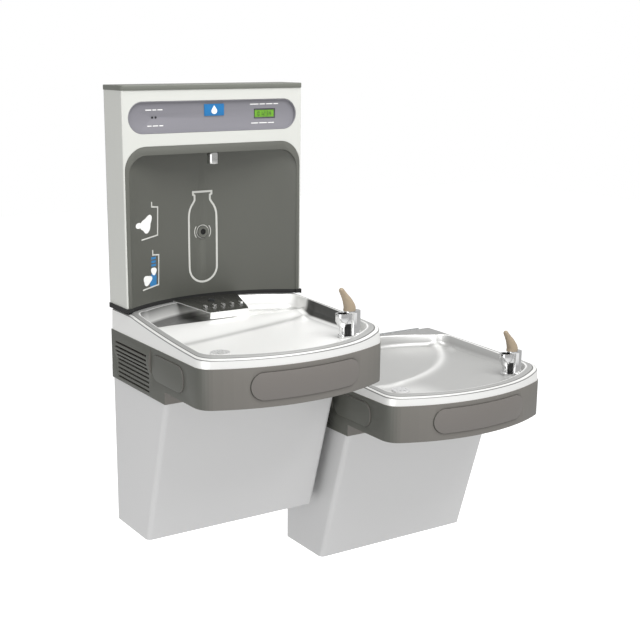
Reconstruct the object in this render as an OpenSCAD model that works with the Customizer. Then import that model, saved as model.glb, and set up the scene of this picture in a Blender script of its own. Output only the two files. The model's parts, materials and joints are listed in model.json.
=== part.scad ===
// Wall-hung bottle filling station with an upper and a lower drinking fountain.
// Frame: X runs right along the wall, the wall is the plane y = 0 with the station in front of it
// at y < 0, and Z is up. The origin is on the wall, on the upper unit's centre line, level with the
// top edge of its apron. Everything of the lower unit is the upper unit's piece, moved by the pitch
// and the drop. Lengths are in millimetres.

/* [Layout] */
// Width of each unit's apron and of the tower
unit_w = 453; // [440:1:470]
// Depth from the wall to the middle of the apron's front
unit_d = 483; // [475:1:495]
// How far the front bows out between its corners
front_bow = 38; // [34:1:44]
// Corner radius of the apron in plan
corner_r = 40; // [36:1:46]
// Space between the two units' aprons
unit_gap = 20; // [16:1:40]
// How much lower the lower unit hangs
unit_drop = 151; // [130:1:175]

/* [Tower] */
// Height of the tower's shell
tower_h = 471; // [455:1:490]
// Depth of the tower's shell
tower_d = 90; // [86:1:100]
// Height of the tower's foot above the apron's top edge
tower_foot = 61; // [59:1:66]
// Height of the cap on the tower
cap_h = 11; // [8:1:16]
// How far the cap overhangs the shell
cap_lip = 2; // [1:0.5:4]
// Thickness of the sheet metal
sheet_t = 1.2; // [0.8:0.1:1.6]

/* [Alcove] */
// Height of the tower's head above the alcove
brow_h = 138; // [130:1:150]
// Depth of the alcove at its middle, from the tower's front
alcove_d = 67; // [60:1:70]
// Width of the tower's front at each side of the alcove
alcove_side = 12.5; // [10.5:0.5:21.5]
// Radius of the alcove's upper corners
alcove_corner = 44; // [30:1:60]
// Wall thickness of the alcove's moulding
liner_t = 2.5; // [2:0.5:3.5]

/* [Control panel] */
// Space at each side of the control panel
panel_side = 14.5; // [12.5:0.5:26.5]
// Height of the control panel
panel_h = 69; // [60:1:72]
// Depth of the control panel's recess
panel_recess = 6; // [4:0.5:9]
// Width of the display window
display_w = 52; // [40:1:60]
// Height of the display window
display_h = 17; // [14:1:22]
// Width of the plain badge
badge_w = 50; // [40:1:60]
// Height of the plain badge
badge_h = 26; // [20:1:30]

/* [Basin] */
// Height of the rim at the wall, above the apron's top edge
rim_back_h = 52; // [50:0.5:52.5]
// Height of the lower unit's rim at the wall
low_rim_back_h = 47; // [45:0.5:49]
// Height of the rim at the front
rim_front_h = 22.5; // [21:0.5:25]
// How far the rim stands in from the skirt's foot
rim_inset = 3; // [2:0.5:5]
// Width of the rolled rim round the bowl
rim_ledge = 17; // [15:0.5:18]
// Height of the bowl's floor at its drain
floor_h = 6; // [4:0.5:8]
// Thickness of the basin's sheet
basin_t = 1.2; // [1:0.1:1.6]

/* [Apron] */
// Height of the apron's bowed front
apron_h = 85; // [80:1:92]
// Height of the collar that meets the cabinet
collar_h = 113; // [108:1:120]
// Wall thickness of the apron
apron_t = 3; // [2.5:0.5:4]
// Number of louvre slots on each side
louvre_n = 9; // [6:1:9]
// Height of one louvre slot
louvre_h = 4.6; // [3:0.2:6]
// Distance of the louvre slots' ends from the bulge's front end
louvre_front = 12; // [8:1:50]
// How far the louvred part bulges out
pod_out = 6.5; // [3:0.5:7.5]

/* [Push pads] */
// Width of the front pad
front_pad_w = 264; // [220:1:270]
// Length of the side pads
side_pad_l = 143; // [120:1:146]
// Height of the pads
pad_h = 57; // [50:1:60]
// How far a pad stands proud of the apron
pad_proud = 2.5; // [1:0.5:3.5]
// Travel of a pad
pad_travel = 4; // [3:0.5:5]

/* [Cabinet] */
// Height of the cabinet's panel
cabinet_h = 349; // [330:1:370]
// How far the cabinet stands in from the apron's side
cabinet_inset = 4; // [4:0.5:7]
// Depth of the cabinet at its top
cabinet_top_d = 264; // [258:1:270]
// Depth of the cabinet at its bottom
cabinet_foot_d = 157; // [150:1:170]
// Radius of the cabinet's upright edges
cabinet_r = 12; // [8:1:16]

/* [Bubbler] */
// Distance of the bubbler from the unit's right side
bubbler_side = 83; // [81:1:90]
// Distance of the bubbler from the unit's front
bubbler_front = 76; // [75:1:82]
// Height of the bubbler's column above the deck
column_h = 58; // [56:1:60]

/* [Cooling and filter] */
// Diameter of the compressor's shell
compressor_dia = 112; // [100:1:118]
// Diameter of the fan
fan_dia = 116; // [100:1:124]
// Diameter of the chiller tank
tank_dia = 96; // [86:1:102]
// Diameter of the filter cartridge
filter_dia = 78; // [70:1:84]
// Length of the filter cartridge
filter_l = 190; // [170:1:200]

/* [Hidden] */

// Roundness of true cylinders, and of the children of a hull
$fn = 72;
hull_fn = 32;
guard_fn = 20;
// Overrun of every cut past the face that it starts from
cut = 1;
// Clearance between a moulded piece and the piece that it sits in
seat_gap = 0.3;
// Radial clearance of a stem or shaft that runs in a hole
run_gap = 0.05;

// Plan of the unit
half_w = unit_w / 2;
pitch = unit_w + unit_gap;
side_steps = 8;
corner_steps = 6;
front_steps = 20;
// The skirt's foot stands in from the apron's face, and a straight rear edge ends in a small radius
skirt_inset = 1;
edge_r = 1;

// The bowl's opening
mouth_inset = rim_inset + rim_ledge;
mouth_r = 40;
mouth_rear = 33;
mouth_sag = 55;
mouth_rear_r = 28;
// The rim falls from the tower forward, fast on the left side and late on the bubbler's side
rim_flat = 100;
low_rim_flat = 40;
rim_level_d = 470;
left_bend = 1.75;
right_bend = 0.3;
roll_w = 7;
roll_rise = 3;
rim_drop = 6;
wall_lean = 5;
wall_foot = 12;
wall_share = 0.32;
// Radial shares at which the floor's rings lie, from the wall's foot to the middle
ring_shares = [0.86, 0.74, 0.62, 0.5, 0.38, 0.26, 0.13];
bowl_mid = [-20, -245];

// The floor's relief
deck_h = 17;
bubbler_x = half_w - bubbler_side;
bubbler_d = unit_d - bubbler_front;
deck_r = 34;
deck_blend = 70;
drain_side = 86.5;
drain_front = 129;
drain_x = -half_w + drain_side;
drain_d = unit_d - drain_front;
drain_hole_r = 16;
fall_per_length = 0.03;
dam_d = 150;
dam_h = 27;
dam_back = 26;
dam_front_right = 30;
dam_front_left = 130;
ridge_mid = [-150, 30];
ridge_r = 345;
ridge_h = 6;
ridge_half = 14;
drain_flat_r = 28;
drain_blend = 30;

// Apron
louvre_pitch = 10;
louvre_top = 22.5;
louvre_rear = 33;
pod_top = 2;
pod_h = 59;
pod_rear = 22;
pod_steps = 10;
collar_d = cabinet_top_d + apron_t + seat_gap + seat_gap;
floor_t = 2.5;

// Push pads
pad_top = 12;
pad_gap = 0.8;
pad_in = 5;
side_pad_in = 127;
side_pad_front = unit_d - side_pad_in;
pod_clear = 8;
pod_front = side_pad_front - side_pad_l - pod_clear;
louvre_l = pod_front - louvre_front - louvre_rear;
side_pad_r = 24;
stem_r = 4;
stem_clip_r = 7;
clip_t = 2;
guide_t = 4;
guide_arm_t = 3;
front_stem_x = 85;
side_stem_y = 45;
front_guide_in = 41;
front_guide_d = unit_d - front_guide_in;
side_guide_in = 22;
push_pin_r = 3;
spring_wire_r = 0.7;
spring_turns = 5;
spring_ring_steps = 8;
spring_sides = 6;

// Front valve
valve_w = 34;
valve_l = 40;
valve_h = 30;
valve_foot_w = 50;
valve_foot_t = 4;
plunger_r = 3.5;
plunger_l = 30;
plunger_out = 8;
port_r = 4.5;
port_l = 14;

// Bubbler and mouth guard, in a frame whose local -X is the way the stream leaves
stream_turn = -12;
base_l = 53;
base_w = 31;
base_t = 5;
base_mid = 4.5;
column_x = 16;
column_r = 12;
cup_x = -13.5;
cup_low = 24;
cup_swell = 12;
cup_top = 53;
cup_foot_r = 8;
cup_r = 14.5;
cup_well_r = 10;
cup_well_d = 12;
stem_bubbler_r = 6.5;
arm_low = 30;
arm_w = 12;
holder_t = 4;
holder_front = -9;
holder_r = 12;
orifice_r = 2.5;
shank_r = 9;
shank_l = 22;
nut_r = 15;
nut_t = 6;
plate_screw_r = 4;
plate_screw_t = 1.6;
plate_screw_x = -15;
plate_screw_y = -8;
// Stops of the mouth guard's horn: forward place, height and radius
guard_stops = [[2.5, 52, 13.5], [3, 66, 13.2], [-2.5, 80, 10.5], [-9.5, 92, 7.5], [-16, 103, 5.8]];

// Drain
strainer_r = 21;
strainer_t = 1.5;
strainer_hole_r = 2;
strainer_hole_ring = 10;
strainer_hole_n = 8;
tail_r = 16;
tail_wall = 1.5;
spigot_l = 60;
tail_l = 70;
tail_nut_r = 24;
tail_nut_t = 8;
waste_z = -60;

// Cabinet, chassis and hanger
cabinet_half = half_w - cabinet_inset;
cabinet_foot = -collar_h - cabinet_h;
rail_w = 24;
rail_t = 2;
tray_lift = 6;
tray_flange = 20;
chassis_top = -20;
hanger_w = 380;
hanger_h = 80;
hanger_t = 2;
hanger_hook = 12;
hanger_hole_r = 4;
hanger_hole_pitch = 300;
hanger_top = 45;
chassis_clear = 5;

// Tower
alcove_h = tower_h - brow_h;
alcove_half = half_w - alcove_side;
panel_w = unit_w - 2 * panel_side;
fold_r = 2.5;
cap_r = 7;
back_t = 1.5;
tower_hole_r = 4;
tower_hole_in = 46.5;
tower_hole_up = 45.5;
tower_hole_x = half_w - tower_hole_in;
tower_hole_dz = tower_h - 2 * tower_hole_up;
front_rim_t = 3;
front_rim_w = 9;
front_rim_top = 19;
rim_corner = 52;
panel_t = 2.5;
panel_wall = 2;
panel_mid_drop = 58;
bezel_w = 3;
lens_t = 1.5;
display_in = 81;
display_x = panel_w / 2 - display_in;
display_z = 2;
badge_z = 13;
lens_in = 64;
lens_x = -panel_w / 2 + lens_in;
lens_pitch = 8;
lens_r = 2.4;
sensor_up = 146;
sensor_r = 8;
sensor_ring_r = 14;
sensor_t = 3;
nozzle_d = 76;
nozzle_r = 13;
nozzle_drop = 26;
nozzle_neck_r = 8;
nozzle_neck_l = 22;
gasket_h = tower_foot - rim_back_h;
gasket_t = 4;
gasket_w = 16;
gasket_lip = 2.5;
gasket_hang = 1.5;
fill_valve_w = 44;
fill_valve_h = 40;
fill_valve_d = 50;
coil_r = 15;
coil_l = 30;
board_w = 150;
board_h = 60;
board_t = 1.6;
board_post_r = 3;
chip_n = 4;
chip_w = 18;
chip_t = 4;

// Bottle shelf
shelf_rear_h = 54;
shelf_front_h = 42;
shelf_t = 2;
shelf_rear_half = 88;
shelf_front_half = 50;
shelf_front_d = 150;
shelf_rear_d = 20;
shelf_lip = 13;
rib_n = 5;
rib_pitch = 23;
rib_w = 6;
rib_l = 10;
rib_h = 8;
rib_d = 122;
shelf_screw_r = 8;
shelf_screw_t = 2;
shelf_screw_d = 62;
cross_w = 2.4;

// Cooling
compressor_x = -62;
compressor_d = 84;
compressor_h = 128;
compressor_dome = 24;
foot_w = 130;
foot_t = 5;
condenser_side = 48.5;
condenser_x = -half_w + condenser_side;
condenser_t = 26;
condenser_d = 86;
condenser_w = 130;
condenser_h = 136;
condenser_top = -140;
fin_n = 9;
fin_t = 2;
pass_r = 4;
fan_ahead = 30;
fan_x = condenser_x + fan_ahead;
fan_hub_r = 18;
fan_t = 12;
blade_n = 5;
blade_t = 1.6;
shaft_r = 3;
shaft_l = 14;
motor_r = 28;
motor_l = 34;
motor_plate_t = 2;
motor_gap = 4;
tank_x = 92;
tank_d = 84;
tank_h = 170;
tank_top = -150;
strap_heights = [tank_top - 3 * tank_h / 4, tank_top - tank_h / 4];
rail_d = hanger_t + rail_t;
strap_t = 2;
tube_r = 4;
thin_tube_r = 3;
ball_share = 1.2;

// Filter
filter_x = 100;
filter_d = 92;
filter_top = -165;
head_h = 34;
head_r = 34;
collar_filter_r = 26;
collar_filter_h = 14;
bracket_t = 3;
grip_n = 12;
grip_r = 2.5;

// Power inlet
inlet_w = 28;
inlet_h = 24;
inlet_l = 22;
inlet_in = 76.5;
inlet_x = -half_w + inlet_in;

// Colours, as the photograph shows them
light_grey = [0.79, 0.79, 0.79];
tower_grey = [0.85, 0.86, 0.84];
dark_grey = [0.42, 0.42, 0.39];
cap_grey = [0.49, 0.5, 0.47];
panel_grey = [0.56, 0.56, 0.57];
steel = [0.8, 0.8, 0.8];
guard_sand = [0.72, 0.69, 0.61];

function arc_points(mid, r, a0, a1, n) =
    [for (i = [0:n]) let (a = a0 + (a1 - a0) * i / n) [mid[0] + r * cos(a), mid[1] + r * sin(a)]];
function front_radius(w, bow, rc) = ((w - rc) * (w - rc) + bow * bow) / (2 * bow);

// Closed outline of a unit in plan: straight sides, round corners, a bowed front at depth d and a
// rear edge at depth rear that falls back by sag towards its ends
function outline(w, d, bow, rc, rear, sag, rr) =
    let (r = front_radius(w, bow, rc))
    let (arc_y = -d + r)
    let (cx = w - rc)
    let (cy = arc_y - sqrt((r - rc) * (r - rc) - cx * cx))
    let (lean = atan2(cy - arc_y, -cx) + 360)
    let (side_y = -rear - sag - rr)
    let (xe = w - rr)
    concat(
        [for (i = [0:side_steps - 1]) [-w, side_y + (cy - side_y) * i / side_steps]],
        arc_points([-cx, cy], rc, 180, lean, corner_steps),
        [for (i = [1:front_steps - 1]) let (a = lean + (540 - 2 * lean) * i / front_steps)
            [r * cos(a), arc_y + r * sin(a)]],
        arc_points([cx, cy], rc, 540 - lean, 360, corner_steps),
        [for (i = [1:side_steps - 1]) [w, cy + (side_y - cy) * i / side_steps]],
        arc_points([xe, side_y], rr, 0, 90, corner_steps),
        [for (i = [1:front_steps - 1]) let (x = xe - 2 * xe * i / front_steps)
            [x, -rear - sag * (x / xe) * (x / xe)]],
        [for (i = [0:corner_steps - 1]) let (a = 90 + 90 * i / corner_steps)
            [-xe + rr * cos(a), side_y + rr * sin(a)]]
    );
function plan(inset) =
    outline(half_w - inset, unit_d - inset, front_bow, max(corner_r - inset, edge_r), inset, 0, edge_r);

module unit_lower() {
    translate([pitch, 0, -unit_drop]) children();
}

// A run of round tube through the stops, with a ball at each bend
module tube_run(stops, r) {
    for (i = [0:len(stops) - 2]) tube_piece(stops[i], stops[i + 1], r);
    for (i = [1:len(stops) - 2]) translate(stops[i]) sphere(r = ball_share * r);
}
module tube_piece(from, to, r) {
    v = to - from;
    translate(from) rotate([0, acos(v[2] / norm(v)), atan2(v[1], v[0])]) cylinder(r = r, h = norm(v));
}

// Basin: one drawn sheet. Its skirt leans in from the apron to the rim, and the floor inside the
// rim has its relief from the functions below.
function blend(t) = let (c = min(max(t, 0), 1)) c * c * (3 - 2 * c);
function rim_z(x, y, dam) =
    let (back = dam ? rim_back_h : low_rim_back_h)
    let (flat = dam ? rim_flat : low_rim_flat)
    let (t = min(max((rim_level_d + y) / (rim_level_d - flat), 0), 1))
    let (bend = left_bend + (right_bend - left_bend) * pow(min(max((x + half_w) / unit_w, 0), 1), 3))
    rim_front_h + (back - rim_front_h) * pow(t, bend);
function fall(x, y) = floor_h + fall_per_length * norm([x - drain_x, y + drain_d]);
function deck_mix(x, y) = blend(1 - (norm([x - bubbler_x, y + bubbler_d]) - deck_r) / deck_blend);
function dam_front(x) =
    dam_front_right + (dam_front_left - dam_front_right) * (half_w - x) / unit_w;
function dam_rise(x, y) =
    y > -dam_d ? blend(1 - (y + dam_d) / dam_back) : blend(1 - (-dam_d - y) / dam_front(x));
function drain_mix(x, y) = blend(1 - (norm([x - drain_x, y + drain_d]) - drain_flat_r) / drain_blend);
function ridge_rise(x, y) =
    let (off = norm([x - ridge_mid[0], y - ridge_mid[1]]) - ridge_r)
    (1 - drain_mix(x, y)) * ridge_h * exp(-pow(off / ridge_half, 2));
function floor_z(x, y, dam) =
    let (z0 = fall(x, y))
    let (z1 = dam ? z0 + (dam_h - z0) * dam_rise(x, y) : z0 + ridge_rise(x, y))
    z1 + (deck_h - z1) * deck_mix(x, y);
basin_rear = hanger_t + seat_gap;
function skirt(inset, rear) =
    outline(half_w - inset, unit_d - inset, front_bow, corner_r, rear, 0, edge_r);
function mouth(inset) =
    outline(half_w - mouth_inset - inset, unit_d - mouth_inset - inset, front_bow, mouth_r,
        mouth_rear + inset, mouth_sag, mouth_rear_r);
function on_height(loop, h) = [for (p = loop) [p[0], p[1], h]];
function on_rim(loop, drop, dam) = [for (p = loop) [p[0], p[1], rim_z(p[0], p[1], dam) - drop]];
function on_floor(loop, share, drop, dam) =
    [for (p = loop) let (z = floor_z(p[0], p[1], dam))
        let (up = share * (rim_z(p[0], p[1], dam) - z) * (1 - deck_mix(p[0], p[1])))
        [p[0], p[1], z + up - drop]];
function shrink(loop, share) = [for (p = loop) bowl_mid + share * (p - bowl_mid)];
function basin_rings(t, dam) =
    concat(
        [on_height(skirt(skirt_inset + t, basin_rear + t), 0)],
        [on_rim(skirt(rim_inset + t, basin_rear + t), rim_drop + t / 2, dam)],
        [on_rim(skirt(rim_inset + roll_w + t / 2, basin_rear + roll_w + t / 2), roll_rise + t, dam)],
        [on_rim(mouth(t / 2), t, dam)],
        [on_floor(mouth(wall_lean + t / 2), wall_share, t, dam)],
        [on_floor(mouth(wall_foot), 0, t, dam)],
        [for (s = ring_shares) on_floor(shrink(mouth(wall_foot), s), 0, t, dam)]
    );
module ring_stack(top, under, mid_top, mid_under) {
    n = len(top[0]);
    m = len(top);
    points = concat([for (r = top) each r], [for (r = under) each r], [mid_top, mid_under]);
    function at(r, j) = r * n + j % n;
    faces = concat(
        [for (r = [0:m - 2], j = [0:n - 1]) [at(r, j), at(r + 1, j), at(r, j + 1)]],
        [for (r = [0:m - 2], j = [0:n - 1]) [at(r, j + 1), at(r + 1, j), at(r + 1, j + 1)]],
        [for (r = [0:m - 2], j = [0:n - 1]) [at(m + r, j), at(m + r, j + 1), at(m + r + 1, j)]],
        [for (r = [0:m - 2], j = [0:n - 1]) [at(m + r, j + 1), at(m + r + 1, j + 1), at(m + r + 1, j)]],
        [for (j = [0:n - 1]) [at(m - 1, j), 2 * m * n, at(m - 1, j + 1)]],
        [for (j = [0:n - 1]) [at(2 * m - 1, j), at(2 * m - 1, j + 1), 2 * m * n + 1]],
        [for (j = [0:n - 1]) [at(0, j), at(0, j + 1), at(m, j)]],
        [for (j = [0:n - 1]) [at(0, j + 1), at(m, j + 1), at(m, j)]]
    );
    polyhedron(points, faces);
}
module basin(dam) {
    mid = [bowl_mid[0], bowl_mid[1], floor_z(bowl_mid[0], bowl_mid[1], dam)];
    color(steel) difference() {
        ring_stack(basin_rings(0, dam), basin_rings(basin_t, dam), mid, mid - [0, 0, basin_t]);
        translate([drain_x, -drain_d, -cut]) cylinder(r = drain_hole_r, h = rim_back_h);
        translate([bubbler_x, -bubbler_d, 0]) cylinder(r = shank_r + seat_gap, h = rim_back_h);
        if (dam) translate([fill_line_x, -fill_line_d, floor_h])
            cylinder(r = tube_r + seat_gap, h = rim_back_h);
    }
}

// Apron: bowed front with a closed underside, sides that run down to a collar round the cabinet,
// louvred bulges, pad openings and the guides that the pads' stems run in
function pod_profile() =
    [for (i = [0:pod_steps]) [pod_out * sin(180 * i / pod_steps), -pod_top - pod_h * i / pod_steps]];
module pad_shape(l, r, grow) {
    translate([-l / 2 + r, -pad_top - pad_h / 2]) union() {
        translate([0, -pad_h / 2 - grow]) square([l - 2 * r, pad_h + 2 * grow]);
        translate([-r - grow, -pad_h / 2 + r]) square([l + 2 * grow, max(pad_h - 2 * r, edge_r)]);
        for (x = [0, l - 2 * r], z = [-pad_h / 2 + r, pad_h / 2 - r])
            translate([x, z]) circle(r = r + grow);
    }
}
module front_shape(grow) {
    pad_shape(front_pad_w, pad_h / 2 - edge_r / 2, grow);
}
module side_shape(grow) {
    pad_shape(side_pad_l, side_pad_r, grow);
}
side_pad_mid = -side_pad_front + side_pad_l / 2;
module along_y(from, to) {
    translate([0, to, 0]) rotate([90, 0, 0]) linear_extrude(height = to - from) children();
}
module along_x(from, to) {
    translate([from, 0, 0]) rotate([90, 0, 90]) linear_extrude(height = to - from) children();
}
module front_guide() {
    arm_x = front_pad_w / 2 + pad_gap + guide_arm_t;
    difference() {
        union() {
            translate([-arm_x, -front_guide_d - guide_t, -pad_top - pad_h])
                cube([2 * arm_x, guide_t, pad_h]);
            for (x = [-arm_x - guide_arm_t, arm_x])
                translate([x, -unit_d, -pad_top - pad_h])
                    cube([guide_arm_t, unit_d - front_guide_d, pad_h]);
        }
        for (x = [-front_stem_x, front_stem_x])
            translate([x, -front_guide_d + cut, -pad_top - pad_h / 2]) rotate([90, 0, 0])
                cylinder(r = stem_r + run_gap, h = guide_t + 2 * cut);
        translate([0, -front_guide_d + cut, -pad_top - pad_h / 2]) rotate([90, 0, 0])
            cylinder(r = push_pin_r + seat_gap, h = guide_t + 2 * cut);
    }
}
module side_guide() {
    arm_y = side_pad_l / 2 + pad_gap;
    translate([0, side_pad_mid, 0]) difference() {
        union() {
            translate([-half_w + side_guide_in, -arm_y - guide_arm_t, -pad_top - pad_h])
                cube([guide_t, 2 * arm_y + 2 * guide_arm_t, pad_h]);
            for (y = [-arm_y - guide_arm_t, arm_y])
                translate([-half_w + edge_r, y, -pad_top - pad_h])
                    cube([side_guide_in + guide_t - edge_r, guide_arm_t, pad_h]);
        }
        for (y = [-side_stem_y, side_stem_y])
            translate([-half_w + side_guide_in - cut, y, -pad_top - pad_h / 2]) rotate([0, 90, 0])
                cylinder(r = stem_r + run_gap, h = guide_t + 2 * cut);
    }
}
module louvre_cuts() {
    for (i = [0:louvre_n - 1])
        translate([-half_w - pod_out - cut, -louvre_rear - louvre_l,
            -louvre_top - i * louvre_pitch - louvre_h / 2])
            cube([pod_out + apron_t + 2 * cut, louvre_l, louvre_h]);
}
module pod() {
    translate([-half_w, -pod_rear, 0]) rotate([90, 0, 0]) mirror([1, 0])
        linear_extrude(height = pod_front - pod_rear) polygon(pod_profile());
}
module apron() {
    color(dark_grey) difference() {
        union() {
            translate([0, 0, -apron_h]) linear_extrude(height = apron_h) difference() {
                polygon(plan(0));
                polygon(plan(apron_t));
            }
            translate([0, 0, -apron_h]) linear_extrude(height = floor_t) intersection() {
                polygon(plan(0));
                translate([-half_w, -unit_d]) square([unit_w, unit_d - collar_d + apron_t]);
            }
            translate([0, 0, -collar_h]) linear_extrude(height = collar_h - apron_h) difference() {
                translate([-half_w, -collar_d]) square([unit_w, collar_d]);
                translate([-half_w + apron_t, -collar_d + apron_t])
                    square([unit_w - 2 * apron_t, collar_d]);
            }
            front_guide();
            for (side = [0, 1]) mirror([side, 0, 0]) {
                side_guide();
                pod();
            }
        }
        along_y(-unit_d - cut, -front_guide_d - guide_t) front_shape(pad_gap);
        for (side = [0, 1]) mirror([side, 0, 0]) {
            translate([0, side_pad_mid, 0]) along_x(-half_w - cut, -half_w + apron_t + cut)
                side_shape(pad_gap);
            louvre_cuts();
        }
        translate([-half_w + apron_t, -apron_t - cut, -apron_h - cut])
            cube([unit_w - 2 * apron_t, apron_t + 2 * cut, apron_h + 2 * cut]);
        difference() {
            translate([-unit_w, -2 * unit_d, -apron_h]) cube([2 * unit_w, 2 * unit_d, apron_h + cut]);
            translate([0, 0, -apron_h - cut]) linear_extrude(height = apron_h + 3 * cut) union() {
                polygon(plan(0));
                translate([-half_w - pod_out - cut, -pod_front - cut])
                    square([unit_w + 2 * pod_out + 2 * cut, pod_front + cut]);
            }
        }
    }
}

// Push pads: a curved or flat face, two stems with a clip behind the guide, and on the front pad
// the pin that meets the valve's plunger
front_arc_r = front_radius(half_w, front_bow, corner_r);
front_arc_y = -unit_d + front_arc_r;
pad_mid_z = -pad_top - pad_h / 2;
module front_pad() {
    stem_from = -front_arc_y + sqrt(pow(front_arc_r - pad_in, 2) - front_stem_x * front_stem_x) + edge_r;
    pin_from = unit_d - pad_in + edge_r;
    color(dark_grey) union() {
        intersection() {
            along_y(-unit_d - pad_proud - cut, front_arc_y - front_arc_r / 2) front_shape(0);
            translate([0, front_arc_y, -apron_h]) difference() {
                cylinder(r = front_arc_r + pad_proud, h = apron_h, $fn = 360);
                translate([0, 0, -cut])
                    cylinder(r = front_arc_r - pad_in, h = apron_h + 2 * cut, $fn = 360);
            }
        }
        for (x = [-front_stem_x, front_stem_x]) translate([x, 0, pad_mid_z]) rotate([90, 0, 0]) {
            translate([0, 0, front_guide_d - seat_gap - clip_t])
                cylinder(r = stem_r, h = stem_from - front_guide_d + seat_gap + clip_t);
            translate([0, 0, front_guide_d - seat_gap - clip_t]) cylinder(r = stem_clip_r, h = clip_t);
        }
        translate([0, 0, pad_mid_z]) rotate([90, 0, 0])
            translate([0, 0, front_guide_d - seat_gap])
                cylinder(r = push_pin_r, h = pin_from - front_guide_d + seat_gap);
    }
}
module side_pad() {
    color(dark_grey) translate([0, side_pad_mid, 0]) union() {
        along_x(-half_w - pad_proud, -half_w + pad_in) side_shape(0);
        for (y = [-side_stem_y, side_stem_y]) translate([-half_w, y, pad_mid_z]) rotate([0, 90, 0]) {
            cylinder(r = stem_r, h = side_guide_in + guide_t + seat_gap + clip_t);
            translate([0, 0, side_guide_in + guide_t + seat_gap]) cylinder(r = stem_clip_r, h = clip_t);
        }
    }
}
function helix_ring(r, rise, turn) =
    [for (k = [0:spring_sides - 1]) let (a = 360 * k / spring_sides)
        [(r + spring_wire_r * cos(a)) * cos(turn), (r + spring_wire_r * cos(a)) * sin(turn),
            rise + spring_wire_r * sin(a)]];
module spring(l) {
    steps = spring_turns * spring_ring_steps;
    r = stem_r + 2 * spring_wire_r + seat_gap;
    span = l - 2 * spring_wire_r;
    points = [for (i = [0:steps]) each
        helix_ring(r, spring_wire_r + span * i / steps, 360 * i / spring_ring_steps)];
    s = spring_sides;
    faces = concat(
        [[for (k = [0:s - 1]) k]],
        [for (i = [0:steps - 1], k = [0:s - 1]) [i * s + k, (i + 1) * s + k, i * s + (k + 1) % s]],
        [for (i = [0:steps - 1], k = [0:s - 1])
            [i * s + (k + 1) % s, (i + 1) * s + k, (i + 1) * s + (k + 1) % s]],
        [[for (k = [s - 1:-1:0]) steps * s + k]]
    );
    polyhedron(points, faces);
}
module pad_springs() {
    front_l = -front_arc_y + sqrt(pow(front_arc_r - pad_in, 2) - pow(front_stem_x + stem_clip_r, 2))
        - front_guide_d - guide_t - 2 * seat_gap;
    side_l = side_guide_in - pad_in - 2 * seat_gap;
    color(steel) union() {
        for (x = [-front_stem_x, front_stem_x])
            translate([x, -front_guide_d - guide_t - seat_gap, pad_mid_z]) rotate([90, 0, 0])
                spring(front_l);
        for (side = [0, 1], y = [-side_stem_y, side_stem_y]) mirror([side, 0, 0])
            translate([-half_w + pad_in + seat_gap, side_pad_mid + y, pad_mid_z]) rotate([0, 90, 0])
                spring(side_l);
    }
}

// Valve behind the front pad, on a foot that stands on the apron's underside
valve_front = front_guide_d - seat_gap - plunger_out;
module valve() {
    foot_z = -apron_h + floor_t;
    color("darkkhaki") difference() {
        union() {
            translate([-valve_w / 2, -valve_front, pad_mid_z - valve_h / 2])
                cube([valve_w, valve_l, valve_h]);
            translate([-valve_w / 2, -valve_front + valve_l / 4, foot_z])
                cube([valve_w, valve_l / 2, pad_mid_z - foot_z]);
            translate([-valve_foot_w / 2, -valve_front, foot_z])
                cube([valve_foot_w, valve_l, valve_foot_t]);
            translate([0, -valve_front + valve_l / 2, pad_mid_z + valve_h / 2 - edge_r])
                cylinder(r = port_r + edge_r, h = port_l);
            translate([0, -valve_front + valve_l - edge_r, pad_mid_z]) rotate([-90, 0, 0])
                cylinder(r = port_r, h = port_l);
        }
        translate([0, -valve_front - cut, pad_mid_z]) rotate([-90, 0, 0])
            cylinder(r = plunger_r + run_gap, h = plunger_l - plunger_out + pad_travel + 2 * cut);
    }
}
module valve_plunger() {
    color(steel) translate([0, -valve_front - plunger_out, pad_mid_z]) rotate([-90, 0, 0])
        cylinder(r = plunger_r, h = plunger_l);
}

module stadium(w, h) {
    square([w - h, h], center = true);
    for (x = [-1, 1]) translate([x * (w - h) / 2, 0]) circle(d = h);
}
// Bubbler: a base plate with its screw, a rear column, a shielded spout on two posts, and the
// shank and nut under the deck
module at_bubbler() {
    translate([bubbler_x, -bubbler_d, deck_h]) rotate([0, 0, stream_turn]) children();
}
module bubbler() {
    color("silver") at_bubbler() difference() {
        union() {
            translate([base_mid, 0, 0]) linear_extrude(height = base_t) stadium(base_l, base_w);
            translate([column_x, 0, 0]) cylinder(r = column_r, h = column_h);
            translate([cup_x, 0, 0]) cylinder(r = stem_bubbler_r, h = cup_low + edge_r);
            translate([cup_x, 0, cup_low]) cylinder(r1 = cup_foot_r, r2 = cup_r, h = cup_swell);
            translate([cup_x, 0, cup_low + cup_swell]) cylinder(r = cup_r, h = cup_top - cup_low - cup_swell);
            translate([cup_x, -arm_w / 2, arm_low]) cube([column_x - cup_x, arm_w, cup_top - arm_low]);
            translate([0, 0, column_h - holder_t]) linear_extrude(height = holder_t)
                translate([(column_x + holder_r + holder_front) / 2, 0])
                    stadium(column_x + holder_r - holder_front, 2 * holder_r);
            translate([plate_screw_x, plate_screw_y, base_t - edge_r])
                cylinder(r = plate_screw_r, h = edge_r + plate_screw_t);
            translate([0, 0, -shank_l]) cylinder(r = shank_r, h = shank_l + edge_r);
            translate([0, 0, -basin_t - seat_gap - nut_t]) cylinder(r = nut_r, h = nut_t, $fn = 6);
        }
        translate([cup_x, 0, cup_top - cup_well_d]) cylinder(r = cup_well_r, h = cup_well_d + cut);
        translate([cup_x, 0, arm_low + edge_r]) cylinder(r = orifice_r, h = cup_top);
    }
}
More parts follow.
